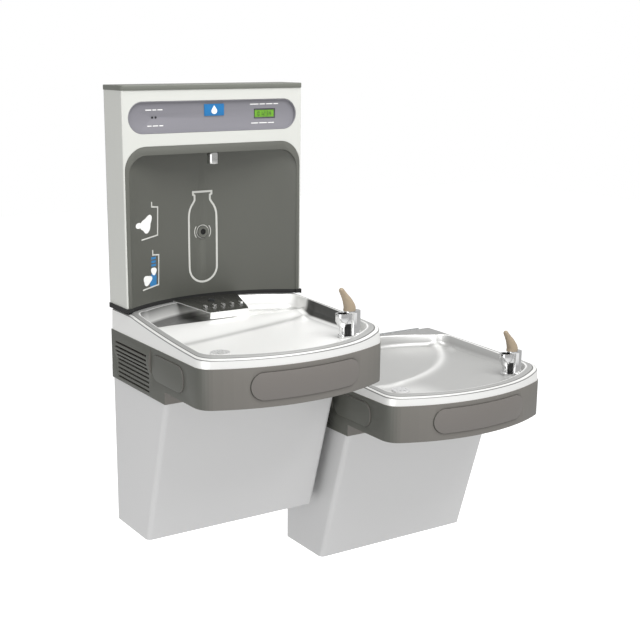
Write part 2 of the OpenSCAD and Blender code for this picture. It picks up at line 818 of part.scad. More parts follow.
// Mouth guard: a tapering horn of flexible plastic that leans over the spout
module guard_ball(stop) {
    translate([stop[0], 0, stop[1]]) sphere(r = stop[2], $fn = guard_fn);
}
module mouth_guard() {
    color(guard_sand) at_bubbler() difference() {
        union() for (i = [0:len(guard_stops) - 2]) hull() {
            guard_ball(guard_stops[i]);
            guard_ball(guard_stops[i + 1]);
        }
        translate([-base_l, -base_l, 0]) cube([2 * base_l, 2 * base_l, column_h + seat_gap]);
    }
}
module bubbler_line() {
    rise_to = deck_h - shank_l - seat_gap;
    from = pad_mid_z + valve_h / 2 - edge_r + port_l + seat_gap;
    mid_z = (from + rise_to) / 2;
    valve_y = -valve_front + valve_l / 2;
    color("white") union() tube_run([[0, valve_y, from], [0, valve_y, mid_z],
        [bubbler_x, -bubbler_d, mid_z], [bubbler_x, -bubbler_d, rise_to]], thin_tube_r);
}

// Drain: a screwed strainer in the floor, its tailpiece with a nut, and the waste pipe to the wall
module at_drain() {
    translate([drain_x, -drain_d, 0]) children();
}
module strainer() {
    color("silver") at_drain() difference() {
        union() {
            translate([0, 0, floor_h + seat_gap + edge_r]) cylinder(r = strainer_r, h = strainer_t);
            translate([0, 0, floor_h - tail_nut_t])
                cylinder(r = drain_hole_r - seat_gap, h = tail_nut_t + edge_r + 2 * seat_gap);
        }
        translate([0, 0, floor_h - tail_nut_t - cut])
            cylinder(r = drain_hole_r - tail_wall - seat_gap, h = tail_nut_t + cut + edge_r + seat_gap);
        for (i = [0:strainer_hole_n - 1]) rotate([0, 0, 360 * i / strainer_hole_n])
            translate([strainer_hole_ring, 0, floor_h]) cylinder(r = strainer_hole_r, h = tail_nut_t);
    }
}
module drain_pipe() {
    top_z = floor_h - tail_nut_t - seat_gap;
    color("dimgray") at_drain() difference() {
        union() {
            translate([0, 0, waste_z]) cylinder(r = tail_r, h = top_z - waste_z);
            translate([0, 0, top_z - tail_nut_t]) cylinder(r = tail_nut_r, h = tail_nut_t);
            translate([0, 0, waste_z]) sphere(r = tail_r + tail_wall);
            translate([0, 0, waste_z]) rotate([-90, 0, 0])
                cylinder(r = tail_r, h = drain_d - hanger_t - seat_gap);
            translate([0, 0, waste_z]) rotate([-90, 0, 0])
                cylinder(r = tail_r + tail_wall, h = drain_d - hanger_t - seat_gap - spigot_l);
        }
        translate([0, 0, waste_z]) cylinder(r = tail_r - tail_wall, h = top_z - waste_z + cut);
        translate([0, 0, waste_z]) sphere(r = tail_r - tail_wall);
        translate([0, 0, waste_z]) rotate([-90, 0, 0])
            cylinder(r = tail_r - tail_wall, h = drain_d);
    }
}

// Cabinet: a sheet panel with slanted front and round upright edges, open at the back and top
module cabinet_block(inset, drop) {
    r = max(cabinet_r - inset, edge_r);
    hull() {
        for (x = [-1, 1]) {
            translate([x * (cabinet_half - inset - r), -cabinet_top_d + inset + r, -collar_h + drop])
                cylinder(r = r, h = edge_r, $fn = hull_fn);
            translate([x * (cabinet_half - inset - r), -cabinet_foot_d + inset + r, cabinet_foot - drop])
                cylinder(r = r, h = edge_r, $fn = hull_fn);
            for (z = [-collar_h + drop, cabinet_foot - drop])
                translate([x * (cabinet_half - inset - edge_r / 2) - edge_r / 2, -edge_r + drop, z])
                    cube([edge_r, edge_r, edge_r]);
        }
    }
}
module cabinet() {
    color(light_grey) difference() {
        cabinet_block(0, 0);
        cabinet_block(sheet_t, cut);
    }
}

// Chassis: a bottom tray and two rear posts, with arms that carry the apron and the basin
module chassis() {
    inner = cabinet_half - sheet_t - chassis_clear;
    tray_z = cabinet_foot + tray_lift;
    depth = cabinet_foot_d - chassis_clear - sheet_t;
    arm_d = cabinet_top_d - chassis_clear - cabinet_r;
    arm_z = -collar_h + edge_r;
    color("gainsboro") union() {
        translate([-inner, -depth, tray_z]) cube([2 * inner, depth - hanger_t, rail_t]);
        for (side = [0, 1]) mirror([side, 0, 0]) {
            translate([-inner, -depth, tray_z]) cube([rail_t, depth - hanger_t, tray_flange]);
            translate([-inner, -rail_w - hanger_t, tray_z]) cube([rail_t, rail_w, chassis_top - tray_z]);
            translate([-inner, -rail_t - hanger_t, tray_z]) cube([rail_w, rail_t, chassis_top - tray_z]);
            translate([-inner, -arm_d, arm_z]) cube([rail_t, arm_d - hanger_t, rail_w]);
            translate([-half_w + apron_t, -arm_d, arm_z + rail_w - rail_t])
                cube([half_w - apron_t - inner + rail_t, arm_d / 2, rail_t]);
        }
        for (z = strap_heights) translate([-inner, -rail_t - hanger_t, z])
            cube([2 * inner, rail_t, rail_w]);
    }
}

// Hanger: the plate that is screwed to the wall, with a folded hook that the chassis hangs on
module hanger() {
    color("lightsteelblue") difference() {
        union() {
            translate([-hanger_w / 2, -hanger_t, hanger_top - hanger_h])
                cube([hanger_w, hanger_t, hanger_h]);
            for (x = [-hanger_w / 2, hanger_w / 2 - rail_w])
                translate([x, -hanger_t, cabinet_foot + tray_lift])
                    cube([rail_w, hanger_t, hanger_top - cabinet_foot - tray_lift]);
        }
        for (x = [-hanger_hole_pitch / 2, hanger_hole_pitch / 2])
            translate([x, cut, hanger_top - hanger_h / 2]) rotate([90, 0, 0])
                cylinder(r = hanger_hole_r, h = hanger_t + 2 * cut);
    }
}

// Tower
tower_top = tower_foot + tower_h;
panel_mid = tower_top - panel_mid_drop;
alcove_top = tower_foot + alcove_h;
alcove_back = tower_d - alcove_d;
alcove_r = (alcove_half * alcove_half + pow(alcove_d - edge_r, 2)) / (2 * (alcove_d - edge_r));
// A doorway with round upper corners, standing on z = 0
module doorway(w, h, r) {
    translate([-w, 0]) square([2 * w, h - r]);
    translate([-w + r, 0]) square([2 * (w - r), h]);
    for (x = [-1, 1]) translate([x * (w - r), h - r]) circle(r = r);
}
module tower_plan(inset, rear) {
    translate([-half_w + inset, -tower_d + inset + fold_r])
        square([unit_w - 2 * inset, tower_d - fold_r - inset + rear]);
    translate([-half_w + inset + fold_r, -tower_d + inset])
        square([unit_w - 2 * inset - 2 * fold_r, tower_d - inset + rear]);
    for (x = [-1, 1]) translate([x * (half_w - inset - fold_r), -tower_d + inset + fold_r])
        circle(r = fold_r);
}
module tower_shell() {
    opening = alcove_half + front_rim_w - 2 * seat_gap;
    color(tower_grey) difference() {
        translate([0, 0, tower_foot]) linear_extrude(height = tower_h) tower_plan(0, -back_t);
        translate([0, 0, tower_foot - cut]) linear_extrude(height = tower_h + 2 * cut)
            tower_plan(sheet_t, cut);
        translate([0, 0, tower_foot - cut]) along_y(-tower_d - cut, -tower_d + 2 * fold_r)
            doorway(opening, alcove_h + front_rim_top + cut, rim_corner);
        translate([0, 0, panel_mid]) along_y(-tower_d - cut, -tower_d + 2 * fold_r)
            stadium(panel_w, panel_h);
    }
}
module tower_cap() {
    w = half_w + cap_lip;
    d = tower_d + cap_lip;
    color(cap_grey) translate([0, 0, tower_top]) linear_extrude(height = cap_h) union() {
        translate([-w, -d + cap_r]) square([2 * w, d - cap_r]);
        translate([-w + cap_r, -d]) square([2 * (w - cap_r), d]);
        for (x = [-1, 1]) translate([x * (w - cap_r), -d + cap_r]) circle(r = cap_r);
    }
}
module tower_back_plate() {
    color("gainsboro") difference() {
        translate([-half_w, -back_t, tower_foot]) cube([unit_w, back_t, tower_h]);
        for (x = [-tower_hole_x, tower_hole_x], z = [-1, 1])
            translate([x, cut, tower_foot + tower_h / 2 + z * tower_hole_dz / 2]) rotate([90, 0, 0])
                cylinder(r = tower_hole_r, h = back_t + 2 * cut);
    }
}
module alcove_space(grow) {
    intersection() {
        translate([0, -alcove_back - alcove_r, tower_foot - cut - grow])
            cylinder(r = alcove_r + grow, h = tower_h, $fn = 180);
        translate([0, 0, tower_foot - cut - grow]) along_y(-2 * tower_d, 0)
            doorway(alcove_half + grow, alcove_h + cut + 2 * grow, alcove_corner + grow);
    }
}
module alcove_liner() {
    lip_w = front_rim_w - 3 * seat_gap;
    color(dark_grey) difference() {
        union() {
            intersection() {
                alcove_space(liner_t);
                translate([-half_w, -tower_d + edge_r / 2, tower_foot]) cube([unit_w, tower_d, tower_h]);
            }
            translate([0, 0, tower_foot]) along_y(-tower_d - edge_r, -tower_d + front_rim_t)
                doorway(alcove_half + lip_w, alcove_h + front_rim_top - seat_gap, rim_corner);
        }
        alcove_space(0);
        translate([0, cut, tower_foot + sensor_up]) rotate([90, 0, 0])
            cylinder(r = sensor_r + seat_gap, h = tower_d);
        translate([0, -nozzle_d, alcove_top - cut])
            cylinder(r = nozzle_neck_r + seat_gap, h = liner_t + 2 * cut);
    }
}
module control_panel() {
    front = -tower_d + panel_recess;
    color(panel_grey) translate([0, 0, panel_mid]) difference() {
        union() {
            along_y(front, front + panel_t) stadium(panel_w - 2 * seat_gap, panel_h - 2 * seat_gap);
            along_y(-tower_d + sheet_t / 2, front + panel_t) difference() {
                stadium(panel_w - 2 * seat_gap, panel_h - 2 * seat_gap);
                stadium(panel_w - 2 * panel_wall, panel_h - 2 * panel_wall);
            }
        }
        translate([display_x - display_w / 2, -tower_d, display_z - display_h / 2])
            cube([display_w, tower_d, display_h]);
        for (i = [-0.5, 0.5]) translate([lens_x + i * lens_pitch, cut, 0]) rotate([90, 0, 0])
            cylinder(r = lens_r + run_gap, h = tower_d);
    }
}
module display_window() {
    front = -tower_d + panel_recess;
    color([0.44, 0.66, 0.21]) translate([0, 0, panel_mid])
        translate([display_x - display_w / 2 + seat_gap, front + lens_t,
            display_z - display_h / 2 + seat_gap])
            cube([display_w - 2 * seat_gap, panel_t, display_h - 2 * seat_gap]);
}
module badge_plate() {
    color([0.12, 0.44, 0.66])
        translate([-badge_w / 2, -tower_d + panel_recess - lens_t, panel_mid + badge_z - badge_h / 2])
            cube([badge_w, lens_t, badge_h]);
}
module status_lenses() {
    color([0.15, 0.15, 0.15]) translate([0, -tower_d + panel_recess + panel_t, panel_mid]) union()
        for (i = [-0.5, 0.5]) translate([lens_x + i * lens_pitch, 0, 0]) rotate([90, 0, 0])
            cylinder(r = lens_r, h = panel_t + edge_r / 2);
}
module bottle_sensor() {
    wall_y = -alcove_back;
    color([0.1, 0.1, 0.1]) translate([0, 0, tower_foot + sensor_up]) rotate([90, 0, 0]) difference() {
        union() {
            translate([0, 0, back_t]) cylinder(r = sensor_r, h = alcove_back - back_t + sensor_t);
            translate([0, 0, back_t]) cylinder(r = sensor_ring_r, h = alcove_back - back_t - 2 * liner_t);
            translate([0, 0, -wall_y + edge_r]) cylinder(r = sensor_ring_r, h = sensor_t - edge_r);
        }
        translate([0, 0, -wall_y + sensor_t - edge_r]) cylinder(r = sensor_r / 2, h = sensor_t);
    }
}
module fill_nozzle() {
    color("silver") translate([0, -nozzle_d, alcove_top]) difference() {
        union() {
            translate([0, 0, -nozzle_drop]) cylinder(r = nozzle_r, h = nozzle_drop - seat_gap);
            translate([0, 0, -nozzle_drop / 2])
                cylinder(r = nozzle_neck_r, h = nozzle_drop / 2 + nozzle_neck_l);
        }
        translate([0, 0, -nozzle_drop - cut]) cylinder(r = orifice_r * 2, h = nozzle_drop);
    }
}
// Gasket between the tower's foot and the basin's rear ledge: side strips with a lip that hangs over
// the rim's edge, and a strip along the alcove's curve
module base_gasket() {
    color([0.07, 0.07, 0.07]) union() {
        for (side = [0, 1]) mirror([side, 0, 0]) {
            translate([-half_w - gasket_lip, -tower_d - gasket_lip, tower_foot - gasket_h])
                cube([gasket_w, tower_d + gasket_lip, gasket_h]);
            translate([-half_w - gasket_lip, -tower_d - gasket_lip, tower_foot - gasket_h - gasket_hang])
                cube([gasket_lip, tower_d + gasket_lip, gasket_h + gasket_hang]);
        }
        translate([0, 0, tower_foot - gasket_h]) linear_extrude(height = gasket_h) intersection() {
            difference() {
                translate([0, -alcove_back - alcove_r]) circle(r = alcove_r + gasket_t, $fn = 180);
                translate([0, -alcove_back - alcove_r]) circle(r = alcove_r, $fn = 180);
            }
            translate([-half_w, -tower_d - gasket_lip]) square([unit_w, tower_d]);
        }
    }
}
// Solenoid valve above the alcove, on the tower's back plate, with its outlet over the nozzle
module fill_valve() {
    z0 = alcove_top + nozzle_neck_l + seat_gap;
    color("darkkhaki") union() {
        translate([-fill_valve_w / 2, -back_t - fill_valve_d, z0])
            cube([fill_valve_w, fill_valve_d, fill_valve_h]);
        translate([0, -back_t - fill_valve_d / 2, z0 + fill_valve_h]) cylinder(r = coil_r, h = coil_l);
        translate([-nozzle_neck_r, -nozzle_d - nozzle_neck_r, z0])
            cube([2 * nozzle_neck_r, nozzle_d + nozzle_neck_r - fill_valve_d, 2 * nozzle_neck_r]);
        translate([-fill_valve_w / 2 - port_l, -back_t - fill_valve_d / 2, z0 + fill_valve_h / 2])
            rotate([0, 90, 0]) cylinder(r = port_r, h = port_l + edge_r);
    }
}
fill_line_x = -half_w + rail_w;
fill_line_d = 20;
module fill_line() {
    z1 = alcove_top + nozzle_neck_l + seat_gap + fill_valve_h / 2;
    y1 = -back_t - fill_valve_d / 2;
    z0 = tank_top - edge_r + port_l + seat_gap;
    stops = [[-fill_valve_w / 2 - port_l - seat_gap, y1, z1], [fill_line_x, y1, z1],
        [fill_line_x, -fill_line_d, z1], [fill_line_x, -fill_line_d, z0 + rail_w / 2],
        [tank_x, -fill_line_d, z0 + rail_w / 2], [tank_x, -tank_d, z0 + rail_w / 2], [tank_x, -tank_d, z0]];
    color("white") union() tube_run(stops, tube_r);
}
module control_board() {
    front = -tower_d + panel_recess + panel_t;
    z0 = panel_mid - board_h / 2 + display_z;
    x0 = display_x - board_w / 2 - chip_w;
    color("seagreen") union() {
        translate([x0, front + lens_t + chip_t, z0]) cube([board_w, board_t, board_h]);
        for (i = [0:chip_n - 1])
            translate([x0 + chip_w / 2 + i * 2 * chip_w, front + lens_t + chip_t + board_t / 2, z0 + chip_w])
                cube([chip_w, chip_t, chip_w]);
        for (x = [x0 + board_post_r, x0 + board_w - board_post_r])
            for (z = [z0 + board_post_r, z0 + board_h - board_post_r])
                translate([x, front, z]) rotate([-90, 0, 0])
                    cylinder(r = board_post_r, h = lens_t + chip_t + board_t / 2);
    }
}
// Bottle shelf: a tapering plate from the tower's foot to the dam, with a turned-up front tab
shelf_l = shelf_front_d - shelf_rear_d;
module at_shelf() {
    translate([0, -shelf_rear_d, shelf_rear_h])
        rotate([atan2(shelf_rear_h - shelf_front_h, shelf_l), 0, 0]) children();
}
module bottle_shelf() {
    color(steel) at_shelf() union() {
        linear_extrude(height = shelf_t) intersection() {
            polygon([[-shelf_rear_half, 0], [-shelf_front_half, -shelf_l],
                [shelf_front_half, -shelf_l], [shelf_rear_half, 0]]);
            translate([0, shelf_rear_d - alcove_back - alcove_r]) circle(r = alcove_r - seat_gap, $fn = 180);
        }
        translate([-shelf_front_half, -shelf_l, -shelf_lip])
            cube([2 * shelf_front_half, shelf_t, shelf_lip + shelf_t]);
        for (i = [0:rib_n - 1])
            translate([(i - (rib_n - 1) / 2) * rib_pitch - rib_w / 2, shelf_rear_d - rib_d, shelf_t / 2])
                cube([rib_w, rib_l, rib_h + shelf_t / 2]);
    }
}
module shelf_screw() {
    color([0.15, 0.15, 0.15]) at_shelf() translate([0, shelf_rear_d - shelf_screw_d, shelf_t]) difference() {
        cylinder(r = shelf_screw_r, h = shelf_screw_t);
        for (a = [0, 90]) rotate([0, 0, a])
            translate([-shelf_screw_r / 2, -cross_w / 2, shelf_screw_t / 2])
                cube([shelf_screw_r, cross_w, shelf_screw_t]);
    }
}

// Cooling system in the upper cabinet
tray_top = cabinet_foot + tray_lift + rail_t;
module compressor() {
    r = compressor_dia / 2;
    color([0.12, 0.12, 0.12]) translate([compressor_x, -compressor_d, tray_top]) union() {
        translate([-foot_w / 2, -foot_w / 4, 0]) cube([foot_w, foot_w / 2, foot_t]);
        translate([0, 0, foot_t - edge_r]) cylinder(r = r, h = compressor_h - compressor_dome);
        translate([0, 0, foot_t - edge_r + compressor_h - compressor_dome])
            cylinder(r1 = r, r2 = r / 2, h = compressor_dome);
    }
}
module condenser() {
    x0 = condenser_x - condenser_t / 2;
    y0 = -condenser_d - condenser_w / 2;
    z0 = condenser_top - condenser_h;
    pitch_y = condenser_w / (fin_n - 1);
    color("black") union() {
        for (i = [0:fin_n - 1]) translate([x0, y0 + i * pitch_y - fin_t / 2, z0])
            cube([condenser_t, fin_t, condenser_h]);
        for (z = [z0 + condenser_h / 8:condenser_h / 4:condenser_top])
            translate([condenser_x, y0 - fin_t / 2, z]) rotate([-90, 0, 0])
                cylinder(r = pass_r, h = condenser_w + fin_t);
        translate([x0, y0 - fin_t / 2, z0 - edge_r]) cube([condenser_t, condenser_w + fin_t, 2 * edge_r]);
        translate([condenser_x - rail_w / 2, y0 + condenser_w, strap_heights[1]])
            cube([rail_w, condenser_d - condenser_w / 2 - rail_d, rail_w]);
    }
}
fan_z = condenser_top - condenser_h / 2;
module fan() {
    color("dimgray") translate([fan_x, -condenser_d, fan_z]) rotate([0, 90, 0]) union() {
        difference() {
            translate([0, 0, -fan_t / 2]) cylinder(r = fan_hub_r, h = fan_t);
            cylinder(r = shaft_r + run_gap, h = fan_t);
        }
        for (i = [0:blade_n - 1]) rotate([0, 0, 360 * i / blade_n])
            translate([fan_hub_r - edge_r, 0, 0]) rotate([30, 0, 0])
                translate([0, -fan_t, -blade_t / 2]) cube([fan_dia / 2 - fan_hub_r, 2 * fan_t, blade_t]);
    }
}
module fan_motor() {
    x0 = fan_x + fan_t / 2 + motor_gap;
    z1 = strap_heights[1] + rail_w - fan_z;
    color("gray") translate([0, -condenser_d, fan_z]) union() {
        translate([x0, 0, 0]) rotate([0, 90, 0]) cylinder(r = motor_r, h = motor_l);
        translate([fan_x + seat_gap, 0, 0]) rotate([0, 90, 0])
            cylinder(r = shaft_r, h = x0 - fan_x + motor_l / 2);
        translate([x0 + motor_l - motor_plate_t, 0, -motor_r / 2])
            cube([motor_plate_t, condenser_d - rail_d, z1 + motor_r / 2]);
    }
}
module chiller_tank() {
    color("lightgray") translate([tank_x, -tank_d, tank_top - tank_h]) union() {
        cylinder(r = tank_dia / 2, h = tank_h);
        for (z = [tank_h / 4, 3 * tank_h / 4]) translate([0, 0, z]) {
            cylinder(r = tank_dia / 2 + strap_t, h = rail_w);
            translate([-rail_w / 2, 0, 0]) cube([rail_w, tank_d - rail_d, rail_w]);
        }
        translate([0, 0, tank_h - edge_r]) cylinder(r = port_r, h = port_l);
    }
}
module refrigerant_line() {
    top = tray_top + foot_t - edge_r + compressor_h + seat_gap;
    side_x = tank_x - tank_dia / 2 - strap_t - seat_gap - ball_share * thin_tube_r;
    low_z = top + compressor_dome;
    high_z = low_z + compressor_dome;
    off = compressor_dia / 8;
    color("chocolate") union() {
        tube_run([[compressor_x + off, -compressor_d, top], [compressor_x + off, -compressor_d, high_z],
            [side_x, -compressor_d, high_z], [side_x, -compressor_d, high_z + compressor_dome]], thin_tube_r);
        tube_run([[compressor_x - off, -compressor_d, top], [compressor_x - off, -compressor_d, low_z],
            [condenser_x, -compressor_d, low_z],
            [condenser_x, -compressor_d, condenser_top - condenser_h - edge_r - seat_gap]], thin_tube_r);
    }
}

// Filter in the lower cabinet: a head on a wall bracket and the cartridge that twists out of it
module at_filter() {
    translate([filter_x, -filter_d, filter_top]) children();
}
module filter_head() {
    color("whitesmoke") at_filter() difference() {
        union() {
            cylinder(r = head_r, h = head_h);
            translate([-rail_w, 0, head_h / 2]) cube([2 * rail_w, filter_d - rail_d, head_h / 2]);
            translate([-rail_w, filter_d - rail_d - bracket_t, -head_h])
                cube([2 * rail_w, bracket_t, 2 * head_h]);
            translate([-head_r - port_l, 0, head_h / 2]) rotate([0, 90, 0])
                cylinder(r = port_r, h = 2 * head_r + 2 * port_l);
        }
        translate([0, 0, -cut]) cylinder(r = collar_filter_r + run_gap, h = collar_filter_h + seat_gap + cut);
    }
}
module filter_cartridge() {
    color("white") at_filter() union() {
        translate([0, 0, -seat_gap - edge_r]) cylinder(r = collar_filter_r, h = collar_filter_h + edge_r);
        translate([0, 0, -filter_l]) cylinder(r = filter_dia / 2, h = filter_l - seat_gap);
        for (i = [0:grip_n - 1]) rotate([0, 0, 360 * (i + 0.5) / grip_n])
            translate([filter_dia / 2, 0, -filter_l]) cylinder(r = grip_r, h = filter_l / 4);
    }
}
module power_inlet() {
    color([0.1, 0.1, 0.1]) translate([inlet_x, -hanger_t - inlet_l, tray_top]) difference() {
        translate([-inlet_w / 2, 0, 0]) cube([inlet_w, inlet_l, inlet_h]);
        translate([0, inlet_l / 2, inlet_h / 2]) rotate([-90, 0, 0]) cylinder(r = inlet_h / 4, h = inlet_l);
    }
}
tower_shell();
tower_cap();
tower_back_plate();
alcove_liner();
control_panel();
display_window();
badge_plate();
status_lenses();
bottle_sensor();
fill_nozzle();
base_gasket();
fill_valve();
fill_line();
control_board();
bottle_shelf();
shelf_screw();
basin(true);  // upper_basin
apron();  // upper_apron
front_pad();  // upper_front_pad
side_pad();  // upper_left_pad
mirror([1, 0, 0]) side_pad();  // upper_right_pad
pad_springs();  // upper_pad_springs
valve();  // upper_valve
valve_plunger();  // upper_valve_plunger
bubbler();  // upper_bubbler
mouth_guard();  // upper_mouth_guard
strainer();  // upper_strainer
drain_pipe();  // upper_drain_pipe
cabinet();  // upper_cabinet
chassis();  // upper_chassis
hanger();  // upper_hanger
bubbler_line();  // upper_bubbler_line
unit_lower() basin(false);  // lower_basin
unit_lower() apron();  // lower_apron
unit_lower() front_pad();  // lower_front_pad
unit_lower() side_pad();  // lower_left_pad
unit_lower() mirror([1, 0, 0]) side_pad();  // lower_right_pad
unit_lower() pad_springs();  // lower_pad_springs
unit_lower() valve();  // lower_valve
unit_lower() valve_plunger();  // lower_valve_plunger
unit_lower() bubbler();  // lower_bubbler
unit_lower() mouth_guard();  // lower_mouth_guard
unit_lower() strainer();  // lower_strainer
unit_lower() drain_pipe();  // lower_drain_pipe
unit_lower() cabinet();  // lower_cabinet
unit_lower() chassis();  // lower_chassis
unit_lower() hanger();  // lower_hanger
unit_lower() bubbler_line();  // lower_bubbler_line
compressor();
condenser();
fan_motor();
fan();
chiller_tank();
refrigerant_line();
unit_lower() filter_head();
unit_lower() filter_cartridge();
power_inlet();
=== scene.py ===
# %% [markdown]
# # A wall-hung bottle filling station
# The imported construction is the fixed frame: every sub-part is already there in metres, at its real
# place. This lesson gives it its looks. Pieces whose drawn or moulded form is softer than the
# construction's are modelled again here and stand in for their node; all others keep their solid
# and only get a finish.
# %% Load the frame
import bpy, bmesh, json, math
import numpy as np
from mathutils import Vector, Matrix


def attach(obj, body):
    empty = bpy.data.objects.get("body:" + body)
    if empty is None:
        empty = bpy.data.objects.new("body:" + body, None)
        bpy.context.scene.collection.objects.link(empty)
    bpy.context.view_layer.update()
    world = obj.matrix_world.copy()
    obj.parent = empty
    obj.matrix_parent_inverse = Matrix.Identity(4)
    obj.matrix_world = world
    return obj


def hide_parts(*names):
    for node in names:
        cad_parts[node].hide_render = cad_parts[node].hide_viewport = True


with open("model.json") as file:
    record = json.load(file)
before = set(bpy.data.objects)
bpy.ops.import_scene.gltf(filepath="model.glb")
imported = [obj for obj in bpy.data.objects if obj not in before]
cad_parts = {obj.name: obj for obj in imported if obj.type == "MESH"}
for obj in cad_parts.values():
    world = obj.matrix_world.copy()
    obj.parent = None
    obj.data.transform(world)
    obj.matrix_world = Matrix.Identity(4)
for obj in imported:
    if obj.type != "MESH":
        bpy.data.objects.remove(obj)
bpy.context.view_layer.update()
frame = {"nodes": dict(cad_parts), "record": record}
scene = bpy.context.scene
nodes = frame["nodes"]
slot_of = {s["node"]: s["material_slot"] for s in frame["record"]["subparts"]}

# %% [markdown]
# ## Sizes that several pieces share
# Each value is the construction's own, in millimetres, so that a soft shape lands where the solid
# was. The lower fountain is the upper one moved along the wall and down, so each piece that both
# have is made by one function, once for each unit.
# %% Shared sizes
MM = 0.001
UNIT_W, UNIT_D, BOW, CORNER = 453.0, 483.0, 38.0, 40.0
HALF = UNIT_W / 2
PITCH, DROP = 473.0, 151.0
RIM_BACK, LOW_RIM_BACK, RIM_FRONT, RIM_LEVEL = 52.0, 47.0, 22.5, 470.0
INSET, LEDGE = 3.0, 17.0
DECK, BUBBLER = 17.0, (143.5, -407.0)
DRAIN, FLOOR = (-140.0, -354.0), 6.0
LOWER = (PITCH, 0.0, -DROP)
UPPER = (0.0, 0.0, 0.0)
UNITS = (("upper", UPPER), ("lower", LOWER))

# %% [markdown]
# ## Helpers for meshes
# A mesh is written from points and faces. Points are in millimetres here and become metres in one
# place. Faces are turned outward by Blender's own recalculation, and the shading is smooth except
# at edges sharper than a given angle.
# %% Mesh helpers
def build(name, points, faces, smooth=35.0, offset=UPPER):
    """A new object in metres from points in millimetres, moved by an offset."""
    mesh = bpy.data.meshes.new(name)
    shift = np.array(offset)
    mesh.from_pydata([tuple((np.array(p) + shift) * MM) for p in points], [], faces)
    work = bmesh.new()
    work.from_mesh(mesh)
    bmesh.ops.remove_doubles(work, verts=work.verts, dist=1e-6)
    bmesh.ops.recalc_face_normals(work, faces=work.faces)
    work.to_mesh(mesh)
    work.free()
    mesh.shade_smooth()
    mesh.set_sharp_from_angle(angle=math.radians(smooth))
    piece = bpy.data.objects.new(name, mesh)
    scene.collection.objects.link(piece)
    return piece


def skin(rings, cap_start=False, cap_end=False):
    """Faces between closed rings of equal length, each ring a list of points."""
    count = len(rings[0])
    points = [p for ring in rings for p in ring]
    faces = []
    for r in range(len(rings) - 1):
        for j in range(count):
            k = (j + 1) % count
            faces.append((r * count + j, r * count + k, (r + 1) * count + k, (r + 1) * count + j))
    if cap_start:
        faces.append(tuple(range(count)))
    if cap_end:
        faces.append(tuple(range(len(points) - count, len(points))))
    return points, faces


# %% [markdown]
# ## Finishes
# The station has few finishes: powder coat, grained moulded plastic, brushed steel, plating and
# rubber. The effects that they share sit in small node groups that give only a colour, a value or
# a normal; the shader itself stays in each material, with its constants on its own sockets.
# %% Shared effects
def effect(name, inputs, outputs):
    """An empty node group with the given sockets, and its two end nodes."""
    group = bpy.data.node_groups.new(name, "ShaderNodeTree")
    for label, kind, value in inputs:
        made = group.interface.new_socket(label, in_out="INPUT", socket_type=kind)
        made.default_value = value
    for label, kind in outputs:
        group.interface.new_socket(label, in_out="OUTPUT", socket_type=kind)
    return group, group.nodes.new("NodeGroupInput"), group.nodes.new("NodeGroupOutput")


def grain_effect():
    """The fine grain of a moulding or a powder coat, as a bumped normal."""
    group, enter, leave = effect(
        "fine_grain",
        [("Scale", "NodeSocketFloat", 900.0), ("Depth", "NodeSocketFloat", 0.1)],
        [("Normal", "NodeSocketVector")])
    new, link = group.nodes.new, group.links.new
    place = new("ShaderNodeTexCoord")
    noise = new("ShaderNodeTexNoise")
    bump = new("ShaderNodeBump")
    noise.inputs["Detail"].default_value = 3.0
    bump.inputs["Distance"].default_value = 0.0004
    link(place.outputs["Object"], noise.inputs["Vector"])
    link(enter.outputs["Scale"], noise.inputs["Scale"])
    link(noise.outputs["Fac"], bump.inputs["Height"])
    link(enter.outputs["Depth"], bump.inputs["Strength"])
    link(bump.outputs["Normal"], leave.inputs["Normal"])
    return group


def streak_effect():
    """Brushed metal: streaks along one axis in the normal and in the roughness."""
    group, enter, leave = effect(
        "brushed_streaks",
        [("Across", "NodeSocketVector", (60.0, 900.0, 900.0)), ("Depth", "NodeSocketFloat", 0.05),
         ("Low", "NodeSocketFloat", 0.16), ("High", "NodeSocketFloat", 0.34)],
        [("Normal", "NodeSocketVector"), ("Roughness", "NodeSocketFloat")])
    new, link = group.nodes.new, group.links.new
    place = new("ShaderNodeTexCoord")
    stretch = new("ShaderNodeVectorMath")
    stretch.operation = "MULTIPLY"
    noise = new("ShaderNodeTexNoise")
    noise.inputs["Scale"].default_value = 1.0
    noise.inputs["Detail"].default_value = 4.0
    bump = new("ShaderNodeBump")
    bump.inputs["Distance"].default_value = 0.0003
    span = new("ShaderNodeMapRange")
    link(place.outputs["Object"], stretch.inputs[0])
    link(enter.outputs["Across"], stretch.inputs[1])
    link(stretch.outputs[0], noise.inputs["Vector"])
    link(noise.outputs["Fac"], bump.inputs["Height"])
    link(enter.outputs["Depth"], bump.inputs["Strength"])
    link(noise.outputs["Fac"], span.inputs["Value"])
    link(enter.outputs["Low"], span.inputs["To Min"])
    link(enter.outputs["High"], span.inputs["To Max"])
    link(bump.outputs["Normal"], leave.inputs["Normal"])
    link(span.outputs["Result"], leave.inputs["Roughness"])
    return group


GRAIN, STREAKS = grain_effect(), streak_effect()
print("effects:", GRAIN.name, STREAKS.name)


# %% [markdown]
# A colour is given as it looks on a screen and turned to the linear value that Blender works in.
# Plain finishes take the grain effect, metals the streaks. A toned finish runs between two colours
# by a value that the mesh keeps as its attribute "tone". In the photograph, drawn sheet and big
# mouldings look darker in places. The tone paints that on, as a stand-in for light and reflections.
# It isn't a known change of the real finish.
# %% Material makers
def linear(hexa):
    """A screen colour such as 6A6C65 as linear red, green, blue and a full alpha."""
    parts = [int(hexa[i:i + 2], 16) / 255 for i in (0, 2, 4)]
    return tuple(c / 12.92 if c <= 0.04045 else ((c + 0.055) / 1.055) ** 2.4 for c in parts) + (1.0,)


def shader_of(material):
    return material.node_tree.nodes["Principled BSDF"]


